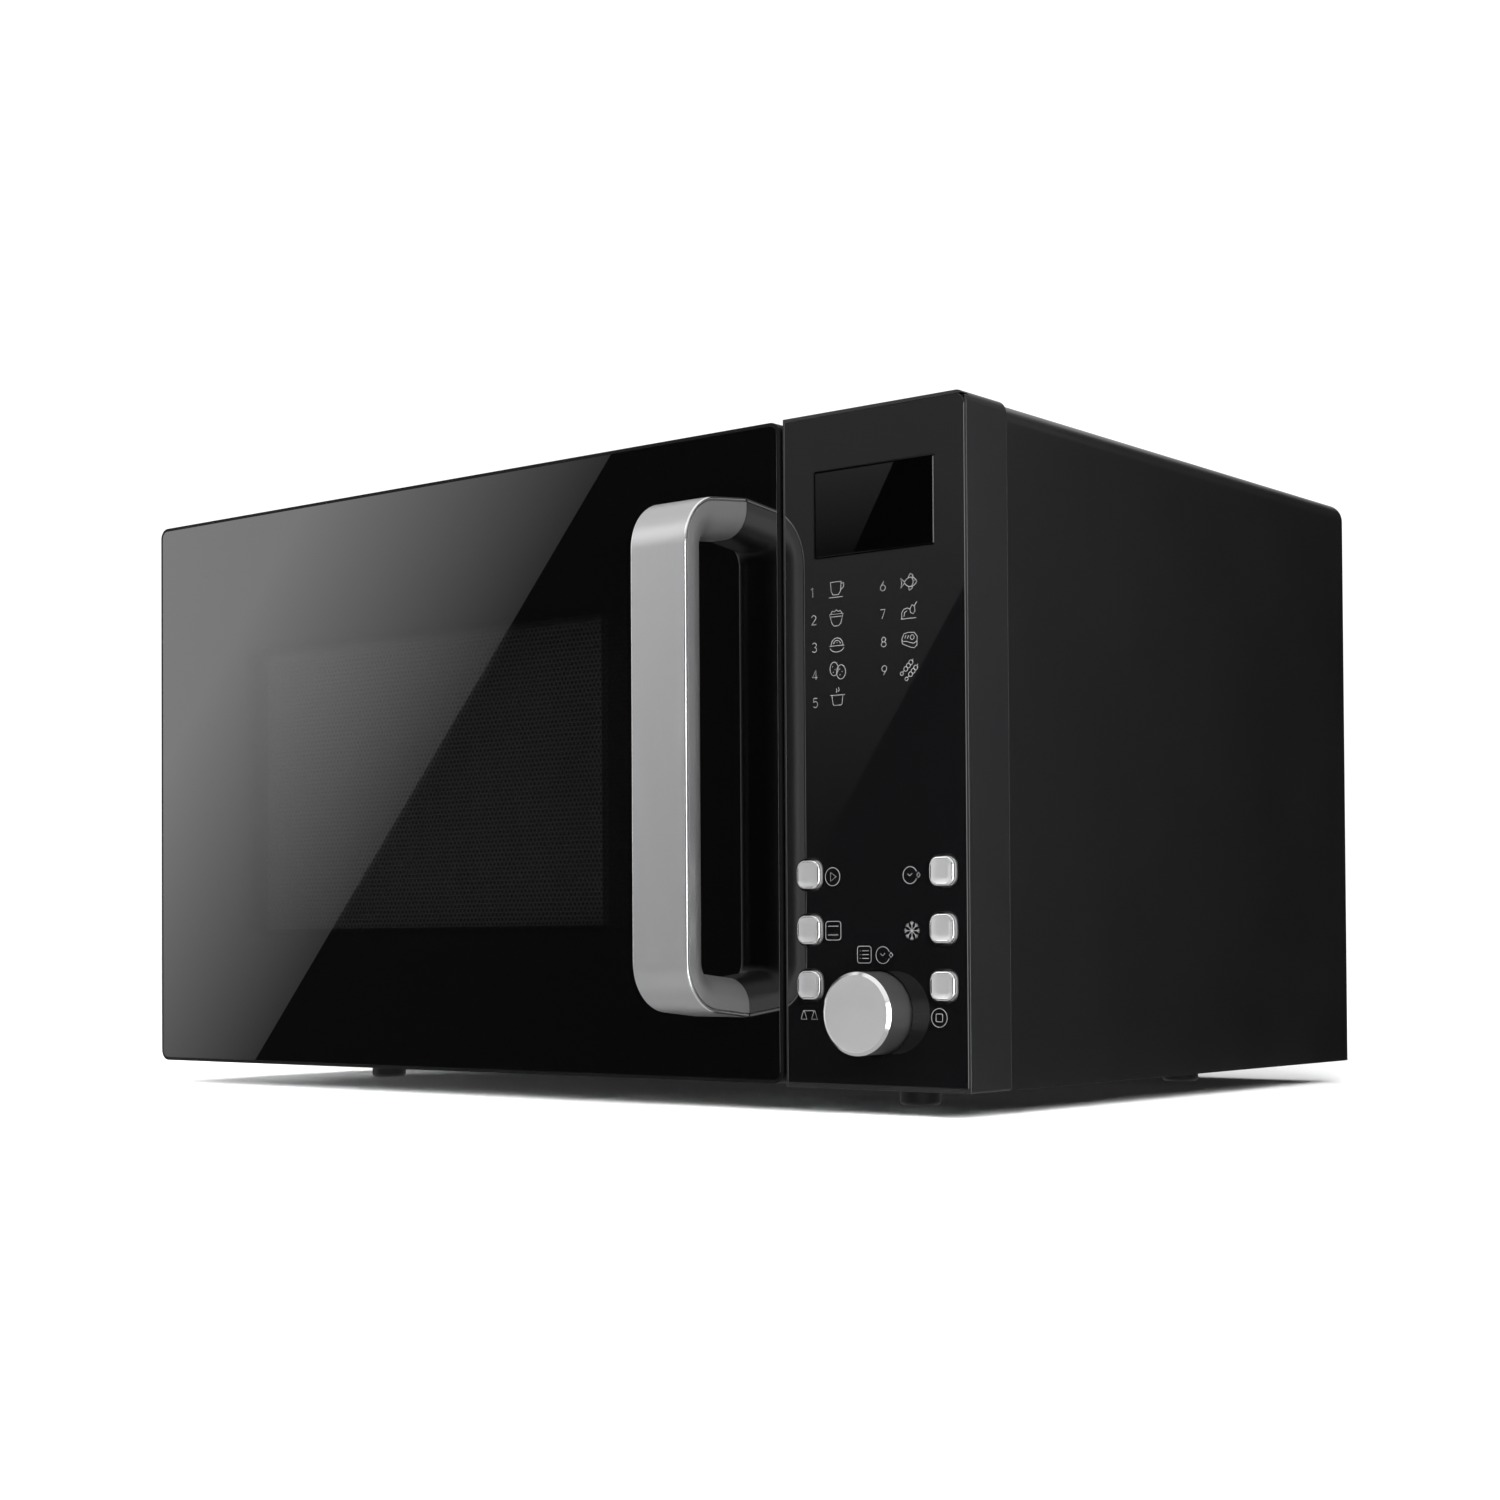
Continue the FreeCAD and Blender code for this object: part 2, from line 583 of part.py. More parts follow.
def inner_film():
    """Clear plastic pane on the oven side of the screen."""
    body = new_body("inner_film")
    pad(body, "front", "screen_back + skin + 0.1", "0.6",
        rectangle("window_left - 19.5", "window_low - 19.5", "window_right + 19.5", "window_high + 19.5"))
    place(body, "inner_film")


def choke_cover():
    """Moulded ring on the oven side of the door, over the choke channel, with slots for the hooks."""
    body = new_body("choke_cover")
    outer = ("hinge_rail + 0.4", "door_low + door_wall + 0.4", "door_width - door_wall - 0.4",
             "door_high - door_wall - 0.4")
    inner = ("window_left - 20", "window_low - 20", "window_right + 20", "window_high + 20")
    lining = ("window_left - 22", "window_low - 22", "window_right + 22", "window_high + 22")
    slots = [rectangle("latch_across - 4.5", f"{up} - 11", "latch_across + 5.5", f"{up} + 12")
             for up in ("hook_low", "hook_high")]
    pad(body, "front", "door_deep - 2", "2", rectangle(*outer), rectangle(*inner), *slots)
    pad(body, "front", "screen_back + skin + 0.8", "door_deep - screen_back - skin - 2.8",
        rectangle(*lining), rectangle(*inner))
    place(body, "choke_cover")


def bow(name, draw_section):
    """Sweep a section along the handle: out on one arm, down the bar and back on the other, then trim it."""
    body = new_body(name)
    path = sketch(body, "side", "handle_left + handle_wide / 2")
    rise = "trim * handle_draft / handle_reach"
    turns = [("trim", f"handle_middle + handle_half + {rise}"),
             ("-handle_reach", "handle_middle + handle_half - handle_draft"),
             ("-handle_reach", "handle_middle - handle_half + handle_draft"),
             ("trim", f"handle_middle - handle_half - {rise}")]
    spots = [FreeCAD.Vector(value(y), value(z), 0) for y, z in turns]
    for here, there in zip(spots, spots[1:]):
        path.addGeometry(Part.LineSegment(here, there))
    for step in range(2):
        path.addConstraint(Sketcher.Constraint("Coincident", step, 2, step + 1, 1))
    for step in range(3):
        pin_down(path, step, 1, *turns[step])
    pin_down(path, 2, 2, *turns[3])
    for step in range(2):
        path.fillet(step, 2, value("handle_bend"), True, True)
    section = sketch(body, "front", "trim")
    draw_section(section, f"handle_middle + handle_half + {rise}")
    pipe = body.newObject("PartDesign::AdditivePipe", "pipe")
    pipe.Profile = section
    pipe.Spine = (path, [])
    DOC.recompute()
    return pocket(body, "front", "0", "20", rectangle("handle_left - 5", "0", "door_width", "door_high"))


def handle_strip():
    """Outer metal band of the handle."""
    def band(section, top):
        outline(section, rectangle("handle_left", f"{top} - strip_thick", "handle_left + handle_wide", top))

    place(bow("handle_strip", band), "handle_strip")


def handle_grip():
    """Moulded inner half of the handle, rounded where the fingers close on it."""
    def half_round(section, top):
        left, right, bend = "handle_left", "handle_left + handle_wide", "grip_round"
        high, low = f"{top} - strip_thick", f"{top} - strip_thick - grip_thick"
        points = [(left, f"{low} + {bend}"), (left, high), (right, high), (right, f"{low} + {bend}"),
                  (f"{right} - {bend}", low), (f"{left} + {bend}", low)]
        spots = [FreeCAD.Vector(value(u), value(v), 0) for u, v in points]
        quarter, radius = math.pi / 2, value(bend)
        for step, start in ((3, 3), (5, 2)):
            hub = FreeCAD.Vector(spots[4 if step == 3 else 5].x, spots[0].y, 0)
            arc = Part.ArcOfCircle(Part.Circle(hub, UP, radius), start * quarter, (start + 1) * quarter)
            section.addGeometry(arc)
        right_arc, left_arc = 0, 1
        for here, there in zip(spots[:3], spots[1:4]):
            section.addGeometry(Part.LineSegment(here, there))
        section.addGeometry(Part.LineSegment(spots[4], spots[5]))
        up_left, across, down_right, along_low = 2, 3, 4, 5
        for one, end, other, start in ((up_left, 2, across, 1), (across, 2, down_right, 1),
                                       (down_right, 2, right_arc, 2), (right_arc, 1, along_low, 1),
                                       (along_low, 2, left_arc, 2), (left_arc, 1, up_left, 1)):
            section.addConstraint(Sketcher.Constraint("Coincident", one, end, other, start))
        for line, point in ((up_left, 0), (across, 1), (down_right, 2), (along_low, 4)):
            pin_down(section, line, 1, *points[point])
        pin_down(section, down_right, 2, *points[3])
        pin_down(section, along_low, 2, *points[5])
        for arc in (right_arc, left_arc):
            index = section.addConstraint(Sketcher.Constraint("Radius", arc, radius))
            bind(section, f"Constraints[{index}]", bend)

    body = bow("handle_grip", half_round)
    holes = [("handle_left + handle_wide / 2", f"handle_middle {sign} handle_screw_half", "2")
             for sign in "+-"]
    pocket(body, "front", "-12", "13", *holes)
    place(body, "handle_grip")


def handle_screws():
    screws = []
    for sign in "+-":
        x, z = "handle_left + handle_wide / 2", f"handle_middle {sign} handle_screw_half"
        seat = "glass_thick + web_thick + 0.1"
        thread, head = rod("y", x, "-11.5", z, "1.9", f"{seat} + 11.5"), rod("y", x, seat, z, "4", "2.4", "3")
        screws.append(join(thread, head))
    place(group(*screws), "handle_screws")


def door_latch():
    """Sliding bar inside the door with two hooks that reach into the case."""
    bar = box("latch_across - 3", "10", "hook_low - 25", "latch_across + 3", "21", "hook_high + 25")
    hooks = []
    for up in ("hook_low", "hook_high"):
        hooks.append(box("latch_across - 1.6", "20", f"{up} - 5", "latch_across + 1.6", "45", f"{up} + 5"))
        hooks.append(box("latch_across - 1.6", "38", f"{up} - 8", "latch_across + 1.6", "45", f"{up} - 4"))
    place(join(bar, *hooks), "door_latch")


def latch_spring():
    """Coil spring that pulls the latch bar down."""
    coil = DOC.addObject("Part::Helix", "coil")
    coil.Pitch, coil.Height, coil.Radius = 2.6, 20.8, 3.2
    coil.Placement = FreeCAD.Placement(FreeCAD.Vector(378, 15.5, 36.5), FreeCAD.Rotation())
    wire = DOC.addObject("Part::Circle", "wire")
    wire.Radius = 0.45
    wire.Placement = FreeCAD.Placement(FreeCAD.Vector(381.2, 15.5, 36.5), TURNS["y"])
    spring = DOC.addObject("Part::Sweep", "spring")
    spring.Sections, spring.Spine = [wire], (coil, [])
    spring.Solid, spring.Frenet = True, True
    place(spring, "latch_spring")


def hinges():
    """Steel hinges: a tongue with a pin, on a flange behind the front frame."""
    front, back = "hinge_back - 5.5", "front_depth + skin + 2"
    for label, low, pin_low, pin_length, flange in (
            ("hinge_upper", "door_high - 8.2", "door_high - notch_deep - 12", "12 + 0.8 + tongue_thick",
             ("door_high - 34", "door_high - 6.2")),
            ("hinge_lower", "door_low + 6.4", "door_low + 6.4", "12 + 0.6 + tongue_thick",
             ("door_low + 6.4", "door_low + 34"))):
        tongue = box("hinge_across - 3.5", front, low, "hinge_across + 5.5", back, f"{low} + tongue_thick")
        flange_low, flange_high = flange
        plate = box("hinge_across - 3.5", "front_depth + skin", flange_low,
                    "hinge_across + 10", back, flange_high)
        pin = rod("z", "hinge_across", "hinge_back", pin_low, "pin_radius", pin_length)
        place(join(tongue, plate, pin), label)


# ---------------------------------------------------------------- latch side of the case
def interlock_bracket():
    """Moulded bracket behind the latch slots: side wall, back wall and two ledges."""
    side = box("387", "front_depth + skin + 0.1", "58", "390", "56", "216")
    back = box("366", "53", "58", "390", "56", "216")
    ledges = [box("370", "32", f"{up} - 19", "388", "54", f"{up} - 14") for up in ("hook_low", "hook_high")]
    place(join(side, back, *ledges), "interlock_bracket")


def microswitches():
    switches = [join(box("390.1", "34", f"{up}", "396.5", "54", f"{up} + 11"),
                     box("392", "37", f"{up} - 3", "394.5", "38", f"{up} + 1")) for up in (66, 108, 178)]
    place(group(*switches), "microswitches")


# ---------------------------------------------------------------- control side
BUTTONS = {"button_start": ("-", 2), "button_grill": ("-", 1), "button_weight": ("-", 0),
           "button_timer": ("+", 2), "button_defrost": ("+", 1), "button_stop": ("+", 0)}


def button_spot(sign, line):
    return f"panel_centre {sign} button_across", f"button_low + {line} * button_step"


def button_holes():
    half = "(button_side / 2 + button_gap)"
    holes = []
    for sign, line in BUTTONS.values():
        x, z = button_spot(sign, line)
        holes.append(rectangle(f"{x} - {half}", f"{z} - {half}", f"{x} + {half}", f"{z} + {half}"))
    return holes


def round_button_holes(body):
    half = "(button_side / 2 + button_gap)"
    found = []
    for sign, line in BUTTONS.values():
        x, z = button_spot(sign, line)
        found += corners(f"{x} - {half}", f"{z} - {half}", f"{x} + {half}", f"{z} + {half}")
    soften(body, "button_corner + button_gap", *found)


def control_bezel():
    """Moulded box beside the door: front wall, sides and a recess for the fascia."""
    body = new_body("control_bezel")
    left, right, high, wall = "panel_left", "body_width", "body_height", "bezel_wall"
    seat = "fascia_thick + 0.1"
    pad(body, "front", "0.2", "front_depth - 0.3", rectangle(left, "0", right, high))
    soften(body, "door_corner", {"x": right, "z": high})
    soften(body, "1", {"x": right, "z": "0"})
    recess = (f"{left} + panel_rim", "fascia_low", f"{right} - panel_rim", f"{high} - 1.4")
    pocket(body, "front", "-1", f"{seat} + 1", rectangle(*recess))
    pocket(body, "front", f"{seat} + {wall}", "front_depth", rectangle(
        f"{left} + {wall}", wall, f"{right} - {wall}", f"{high} - {wall}"))
    half_wide, half_high = "(display_wide / 2 - 3)", "(display_high / 2 - 3)"
    window = rectangle(f"panel_centre - {half_wide}", f"display_centre - {half_high}",
                       f"panel_centre + {half_wide}", f"display_centre + {half_high}")
    pocket(body, "front", "2", "8", window, ("panel_centre", "knob_centre", "5.2"), *button_holes())
    round_button_holes(body)
    place(body, "control_bezel")


def control_fascia():
    """Dark glass front of the control side."""
    body = new_body("control_fascia")
    plate = ("panel_left + panel_rim + 0.1", "fascia_low + 0.1", "body_width - panel_rim - 0.1",
             "body_height - 1.5")
    half_wide, half_high = "(display_wide / 2 + 0.2)", "(display_high / 2 + 0.2)"
    window = rectangle(f"panel_centre - {half_wide}", f"display_centre - {half_high}",
                       f"panel_centre + {half_wide}", f"display_centre + {half_high}")
    pad(body, "front", "0", "fascia_thick", rectangle(*plate), window,
        ("panel_centre", "knob_centre", "knob_radius + knob_gap"), *button_holes())
    soften(body, "door_corner - 1", {"x": plate[2], "z": plate[3]})
    round_button_holes(body)
    place(body, "control_fascia")


def display_window():
    body = new_body("display_window")
    pad(body, "front", "0", "fascia_thick", rectangle(
        "panel_centre - display_wide / 2", "display_centre - display_high / 2",
        "panel_centre + display_wide / 2", "display_centre + display_high / 2"))
    place(body, "display_window")


def display_module():
    """Digit display in its holder, on the board behind the window."""
    body = new_body("display_module")
    pad(body, "front", "fascia_thick + 0.6", "board_back - fascia_thick - 0.6", rectangle(
        "panel_centre - 24", "display_centre - 13", "panel_centre + 24", "display_centre + 13"))
    place(body, "display_module")


def control_board():
    body = new_body("control_board")
    pad(body, "front", "board_back", "board_thick", rectangle("403", "8", "479", "258"),
        ("panel_centre", "125", "4"))
    place(body, "control_board")


def rotary_encoder():
    across, up = "panel_centre", "knob_centre"
    case = box(f"{across} - 7", "9", f"{up} - 7", f"{across} + 7", "board_back", f"{up} + 7")
    neck = rod("y", "panel_centre", "5.6", "knob_centre", "4.6", "4")
    bore = rod("y", "panel_centre", "4", "knob_centre", "3 + running_gap", "12.2")
    place(cut(join(case, neck), bore), "rotary_encoder")


def encoder_shaft():
    shaft = turned("encoder_shaft", [("0", "0"), ("3", "0"), ("3", "25"), ("0", "25")])
    place(shaft, "encoder_shaft", "panel_centre", "-9", "knob_centre", TURNS["y"])


def control_knob():
    """Plain round knob with a bevelled front rim and a hub for the encoder shaft."""
    rear, out = "-2.6", "knob_out"
    knob = turned("control_knob", [
        ("0", "9"), ("0", out), ("knob_radius - knob_chamfer", out), ("knob_radius", f"{out} - knob_chamfer"),
        ("knob_radius", rear), ("knob_radius - 2.2", rear), ("knob_radius - 2.2", f"{out} - 3"),
        ("6.5", f"{out} - 3"), ("6.5", "-2"), ("3.05", "-2"), ("3.05", "9")])
    place(knob, "control_knob", "panel_centre", "0", "knob_centre", TURNS["y"].inverted())


def buttons():
    """Six push buttons: a cap, a flange that keeps it in and a stem that meets its switch."""
    half = "(button_side / 2)"
    for label, (sign, line) in BUTTONS.items():
        body = new_body(label)
        pad(body, "front", "-button_out", "5.6 + button_out", rectangle(f"-{half}", f"-{half}", half, half))
        soften(body, "button_corner", *corners(f"-{half}", f"-{half}", half, half))
        pad(body, "front", "5.6", "1.2", rectangle("-7.4", "-7.4", "7.4", "7.4"))
        pad(body, "front", "6.8", "5.4", rectangle("-2.5", "-2.5", "2.5", "2.5"))
        place(body, label, *[text for text in (button_spot(sign, line)[0], "0", button_spot(sign, line)[1])])


def tact_switches():
    switches = []
    for sign, line in BUTTONS.values():
        x, z = button_spot(sign, line)
        case = box(f"{x} - 3", "14.2", f"{z} - 3", f"{x} + 3", "board_back", f"{z} + 3")
        switches.append(join(case, rod("y", x, "13.8", z, "1.7", "1")))
    place(group(*switches), "tact_switches")


# ---------------------------------------------------------------- machinery bay
def magnetron():
    """Tube block: yoke plates, cooling fins round the anode, the antenna and the filter box."""
    near, low, side = "magnetron_front", "magnetron_low", "magnetron_side"
    far, high = f"{near} + {side}", f"{low} + {side}"
    start = "oven_right + 20.5"
    plates = [box(f"{start} + {x}", near, low, f"{start} + {x} + 1.5", far, high) for x in (0, 54)]
    fins = [box(f"{start} + {9 + 6.5 * step}", f"{near} + 4", f"{low} + 6", f"{start} + {9.8 + 6.5 * step}",
                f"{far} - 4", f"{high} - 6") for step in range(6)]
    straps = [box(start, near, z, f"{start} + 55.5", far, f"{z} + 1.5") for z in (low, f"{high} - 1.5")]
    anode = rod("x", start, "195", "198", "19", "55")
    antenna = rod("x", "oven_right + 7", "195", "198", "7.5", "14")
    filter_box = box(f"{start} + 55", f"{near} + 12", f"{low} + 12",
                     f"{start} + 78", f"{far} - 12", f"{high} - 12")
    place(join(*plates, *fins, *straps, anode, antenna, filter_box), "magnetron")


def transformer():
    """Laminated core with a window each side of its middle leg, and two coils round that leg."""
    left, low, front = "core_left", "skin + 0.6", "core_front"
    right, back, high = "core_left + core_wide", "core_front + core_deep", f"{low} + core_high"
    windows = [box(f"{left} + {x}", f"{front} - 1", f"{low} + 15", f"{left} + {x} + 17", f"{back} + 1",
                   f"{high} - 15") for x in (15, 63)]
    place(cut(box(left, front, low, right, back, high), *windows), "transformer_core")
    coils = []
    for rise in (16, 39):
        ring = box(f"{left} + 15.5", f"{front} - 12", f"{low} + {rise}", f"{right} - 15.5", f"{back} + 12",
                   f"{low} + {rise} + 20")
        leg = box(f"{left} + 31.8", f"{front} - 0.2", low, f"{right} - 31.8", f"{back} + 0.2", high)
        coils.append(cut(ring, leg))
    place(group(*coils), "transformer_windings")


def capacitor():
    can = new_body("capacitor")
    pad(can, "floor", "skin + 0.6", "92", rectangle("372", "222", "424", "254"))
    soften(can, "15.5", *[{"x": x, "y": y} for x in ("372", "424") for y in ("222", "254")])
    tabs = [rectangle(x, "236.5", f"{x} + 6.3", "237.5") for x in ("386", "404")]
    pad(can, "floor", "skin + 92.6", "9", *tabs)
    pad(can, "floor", "skin + 92.6", "2", ("398", "238", "14"))
    place(can, "capacitor")


def diode():
    body = join(rod("x", "432", "238", "60", "4.5", "22"), rod("x", "454", "238", "60", "0.8", "16"),
                rod("x", "426", "238", "60", "0.8", "6"))
    place(body, "diode")


def filter_board():
    """Mains board with its fuse, choke and relay."""
    board = box("372", "64", "218", "476", "140", "219.6")
    fuse = rod("x", "384", "78", "224.6", "3", "24")
    clips = [box(x, "74.5", "219.6", f"{x} + 4", "81.5", "224") for x in ("385", "403")]
    choke = rod("z", "450", "112", "219.6", "12", "14")
    relay = box("392", "104", "219.6", "420", "124", "236")
    place(join(board, fuse, *clips, choke, relay), "filter_board")


def fan_parts():
    """Cooling fan: shroud on the rear panel, motor in front of it, blade between them."""
    x, z, half = "fan_across", "fan_up", "(shroud_side / 2)"
    plate = box(f"{x} - {half}", "fan_back - 2", f"{z} - {half}",
                f"{x} + {half}", "fan_back + 22", f"{z} + {half}")
    throat = rod("y", x, "fan_back - 3", z, "fan_radius + 3", "30")
    place(cut(plate, throat), "fan_shroud")
    bars = [box(f"{x} - {half}", "fan_back - 8", f"{z} + {low}",
                f"{x} + {half}", "fan_back - 2.1", f"{z} + {low} + 8")
            for low in (-24, 16)]
    core = box(f"{x} - 30", "fan_back - 34", f"{z} - 25", f"{x} + 22", "fan_back - 7", f"{z} + 25")
    bearing = rod("y", x, "fan_back - 8", z, "7", "6")
    hole = rod("y", x, "fan_back - 22", z, "2 + running_gap", "22")
    place(cut(join(core, bearing, *bars), hole), "fan_motor")


def fan_blade():
    """Five pitched blades on a hub, with the motor shaft."""
    hub = rod("y", "0", "0", "0", "11", "14")
    shaft = rod("y", "0", "-21", "0", "2", "22")
    blades = []
    for step in range(5):
        blade = DOC.addObject("Part::Box", "blade")
        blade.Length, blade.Width, blade.Height = 24, 1.6, value("fan_radius - 9")
        lean = FreeCAD.Rotation(UP, 32)
        turn = FreeCAD.Rotation(FreeCAD.Vector(0, 1, 0), 72 * step)
        corner = turn.multVec(lean.multVec(FreeCAD.Vector(-12, -0.8, 0)) + FreeCAD.Vector(0, 7.5, 9))
        blade.Placement = FreeCAD.Placement(corner, turn.multiply(lean))
        blades.append(blade)
    rim = rod("y", "0", "-2", "0", "fan_radius", "20")
    place(join(hub, shaft, common(join(*blades), rim)), "fan_blade", "fan_across", "fan_back", "fan_up")


# ---------------------------------------------------------------- the whole appliance
for build in (outer_wrap, base_plate, rear_panel, front_frame, rubber_feet, case_screws, cord_inlet,
              oven_cavity, waveguide, waveguide_cover, oven_lamp, grill_reflector, grill_heater, grill_guard,
              turntable_motor, turntable_coupler, glass_tray, roller_ring, roller_wheels, door_frame,
              door_glass,
              door_panel, door_screen, inner_film, choke_cover, handle_strip, handle_grip, handle_screws,
              door_latch, latch_spring, hinges, interlock_bracket, microswitches, control_bezel,
              control_fascia, display_window, display_module, control_board, rotary_encoder, encoder_shaft,
              control_knob, buttons, tact_switches, magnetron, transformer, capacitor, diode, filter_board,
              fan_parts, fan_blade):
    build()
DOC.recompute()

for thing in DOC.Objects:
    if "Invalid" in thing.State or "Error" in thing.State:
        raise RuntimeError(f"{thing.Label} did not compute: {thing.State}")
os.makedirs("parts", exist_ok=True)
for piece in PIECES:
    if piece.Shape.isNull() or not piece.Shape.isValid():
        raise RuntimeError(f"{piece.Label} has no valid shape")
for piece in PIECES:
    piece.Shape.exportStep(os.path.join("parts", f"{piece.Label}.step"))
print(len(PIECES), "pieces")
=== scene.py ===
"""The microwave oven's looks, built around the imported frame.

The frame gives every place and size in metres: X runs to the oven's right, Y to its back and Z up.
The parts that show most are modelled again here with worked edges, the rest keep their CAD shape,
and every part gets the finish that the real one is made in.
"""

import json
import math

import bmesh
import bpy
from mathutils import Matrix, Vector

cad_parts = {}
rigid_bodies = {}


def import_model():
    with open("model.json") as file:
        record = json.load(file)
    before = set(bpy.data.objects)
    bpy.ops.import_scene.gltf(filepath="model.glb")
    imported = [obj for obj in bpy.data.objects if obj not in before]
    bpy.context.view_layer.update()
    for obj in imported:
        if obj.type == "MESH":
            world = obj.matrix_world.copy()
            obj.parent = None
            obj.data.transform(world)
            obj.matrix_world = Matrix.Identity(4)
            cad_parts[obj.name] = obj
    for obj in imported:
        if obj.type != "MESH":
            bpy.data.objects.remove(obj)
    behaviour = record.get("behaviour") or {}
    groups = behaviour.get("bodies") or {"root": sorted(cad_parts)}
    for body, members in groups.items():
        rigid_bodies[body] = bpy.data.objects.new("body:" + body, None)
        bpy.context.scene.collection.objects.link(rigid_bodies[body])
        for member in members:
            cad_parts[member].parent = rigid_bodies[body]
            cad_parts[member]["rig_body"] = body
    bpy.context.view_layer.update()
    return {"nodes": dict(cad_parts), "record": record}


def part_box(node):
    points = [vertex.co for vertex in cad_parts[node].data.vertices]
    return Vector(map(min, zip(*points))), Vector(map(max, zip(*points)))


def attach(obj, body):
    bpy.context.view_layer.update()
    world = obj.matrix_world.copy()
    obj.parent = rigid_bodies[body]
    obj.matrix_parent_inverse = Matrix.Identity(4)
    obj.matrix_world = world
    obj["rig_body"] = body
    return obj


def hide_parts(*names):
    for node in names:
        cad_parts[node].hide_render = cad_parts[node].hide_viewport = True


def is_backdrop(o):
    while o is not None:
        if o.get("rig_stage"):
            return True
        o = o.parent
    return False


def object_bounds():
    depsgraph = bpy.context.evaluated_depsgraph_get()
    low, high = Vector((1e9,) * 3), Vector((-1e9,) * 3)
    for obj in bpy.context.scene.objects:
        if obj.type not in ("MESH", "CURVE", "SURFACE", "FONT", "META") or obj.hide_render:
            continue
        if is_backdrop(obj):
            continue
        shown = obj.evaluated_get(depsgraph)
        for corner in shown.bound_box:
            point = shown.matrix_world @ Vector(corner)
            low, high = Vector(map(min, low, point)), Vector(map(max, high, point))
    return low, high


MM = 0.001


# ---------------------------------------------------------------- modelling helpers


def pick(obj):
    """Leaves only this object selected and active."""
    bpy.ops.object.select_all(action="DESELECT")
    obj.hide_set(False)
    obj.select_set(True)
    bpy.context.view_layer.objects.active = obj


def newest(name):
    """Names the primitive that was just added."""
    obj = bpy.context.object
    obj.name = obj.data.name = name
    return obj


def settle(obj):
    """Moves an object's place, turn and scale into its mesh."""
    pick(obj)
    bpy.ops.object.transform_apply(location=True, rotation=True, scale=True)


def choose(obj, wanted, kind="faces"):
    """In edit mode, selects only the faces or edges for which wanted(item) is true."""
    bpy.ops.mesh.select_mode(type="FACE" if kind == "faces" else "EDGE")
    bpy.ops.mesh.select_all(action="DESELECT")
    mesh = bmesh.from_edit_mesh(obj.data)
    mesh.normal_update()
    for item in getattr(mesh, kind):
        if wanted(item):
            item.select_set(True)
    bmesh.update_edit_mesh(obj.data)


def edit(obj):
    pick(obj)
    bpy.ops.object.mode_set(mode="EDIT")


def done(obj, angle=35):
    """Leaves edit mode and smooths what isn't a real edge."""
    bpy.ops.object.mode_set(mode="OBJECT")
    pick(obj)
    bpy.ops.object.shade_smooth_by_angle(angle=math.radians(angle))


def box_at(name, low, high):
    """A block between two corners, the start of a moulded or pressed piece."""
    low, high = Vector(low), Vector(high)
    bpy.ops.mesh.primitive_cube_add(size=1, location=(low + high) / 2)
    obj = newest(name)
    obj.scale = high - low
    settle(obj)
    return obj


def modify(obj, kind, **settings):
    pick(obj)
    modifier = obj.modifiers.new(kind.title(), kind)
    for key, value in settings.items():
        setattr(modifier, key, value)
    bpy.ops.object.modifier_apply(modifier=modifier.name)


def fit(obj, body, slot, material, *nodes):
    """Puts a finished piece on its body, in its finish, in place of its CAD nodes."""
    if not obj.data.materials:
        obj.data.materials.append(material)
    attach(obj, body)
    if nodes:
        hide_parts(*nodes)


def twin(obj, name):
    """A copy of a piece with a mesh of its own."""
    other = obj.copy()
    other.data = obj.data.copy()
    other.name = other.data.name = name
    bpy.context.scene.collection.objects.link(other)
    return other


def eased(name, node, width, finish, rim=None, segments=2, angle=40):
    """A CAD node's shape again with its sharp edges broken, as moulding, glass and sheet have them.

    Its broken edges may have a finish of their own, such as a polished rim."""
    source = frame["nodes"][node]
    obj = twin(source, name)
    for key in [k for k in obj.keys() if k.startswith("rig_")]:
        del obj[key]
    obj.parent = None
    obj.data.materials.clear()
    obj.data.materials.append(finish)
    if rim:
        obj.data.materials.append(rim)
    pick(obj)
    bpy.ops.mesh.customdata_custom_splitnormals_clear()
    edit(obj)
    bpy.ops.mesh.select_all(action="SELECT")
    bpy.ops.mesh.remove_doubles(threshold=0.01 * MM)
    bpy.ops.mesh.dissolve_limited(angle_limit=math.radians(1), delimit={"NORMAL"})
    bpy.ops.object.mode_set(mode="OBJECT")
    modify(obj, "BEVEL", width=width * MM, segments=segments, limit_method="ANGLE",
           angle_limit=math.radians(angle), use_clamp_overlap=True,
           material=1 if rim else -1)
    pick(obj)
    bpy.ops.object.shade_smooth_by_angle(angle=math.radians(35))
    modify(obj, "WEIGHTED_NORMAL", keep_sharp=True, weight=80)
    fit(obj, source["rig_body"], SLOT_OF.get(node), finish, node)


# ---------------------------------------------------------------- material helpers


def colour(code):
    """An sRGB hex colour as linear RGBA."""
    levels = [int(code[i:i + 2], 16) / 255 for i in (1, 3, 5)]
    return [c / 12.92 if c <= 0.04045 else ((c + 0.055) / 1.055) ** 2.4 for c in levels] + [1]


def add(material, kind, inputs=(), **settings):
    """Adds a node; an input takes a value or another node's output."""
    tree = material.node_tree
    made = tree.nodes.new(kind)
    for key, value in settings.items():
        setattr(made, key, value)
    for key, value in dict(inputs).items():
        if isinstance(value, bpy.types.NodeSocket):
            tree.links.new(value, made.inputs[key])
        else:
            made.inputs[key].default_value = value
    return made


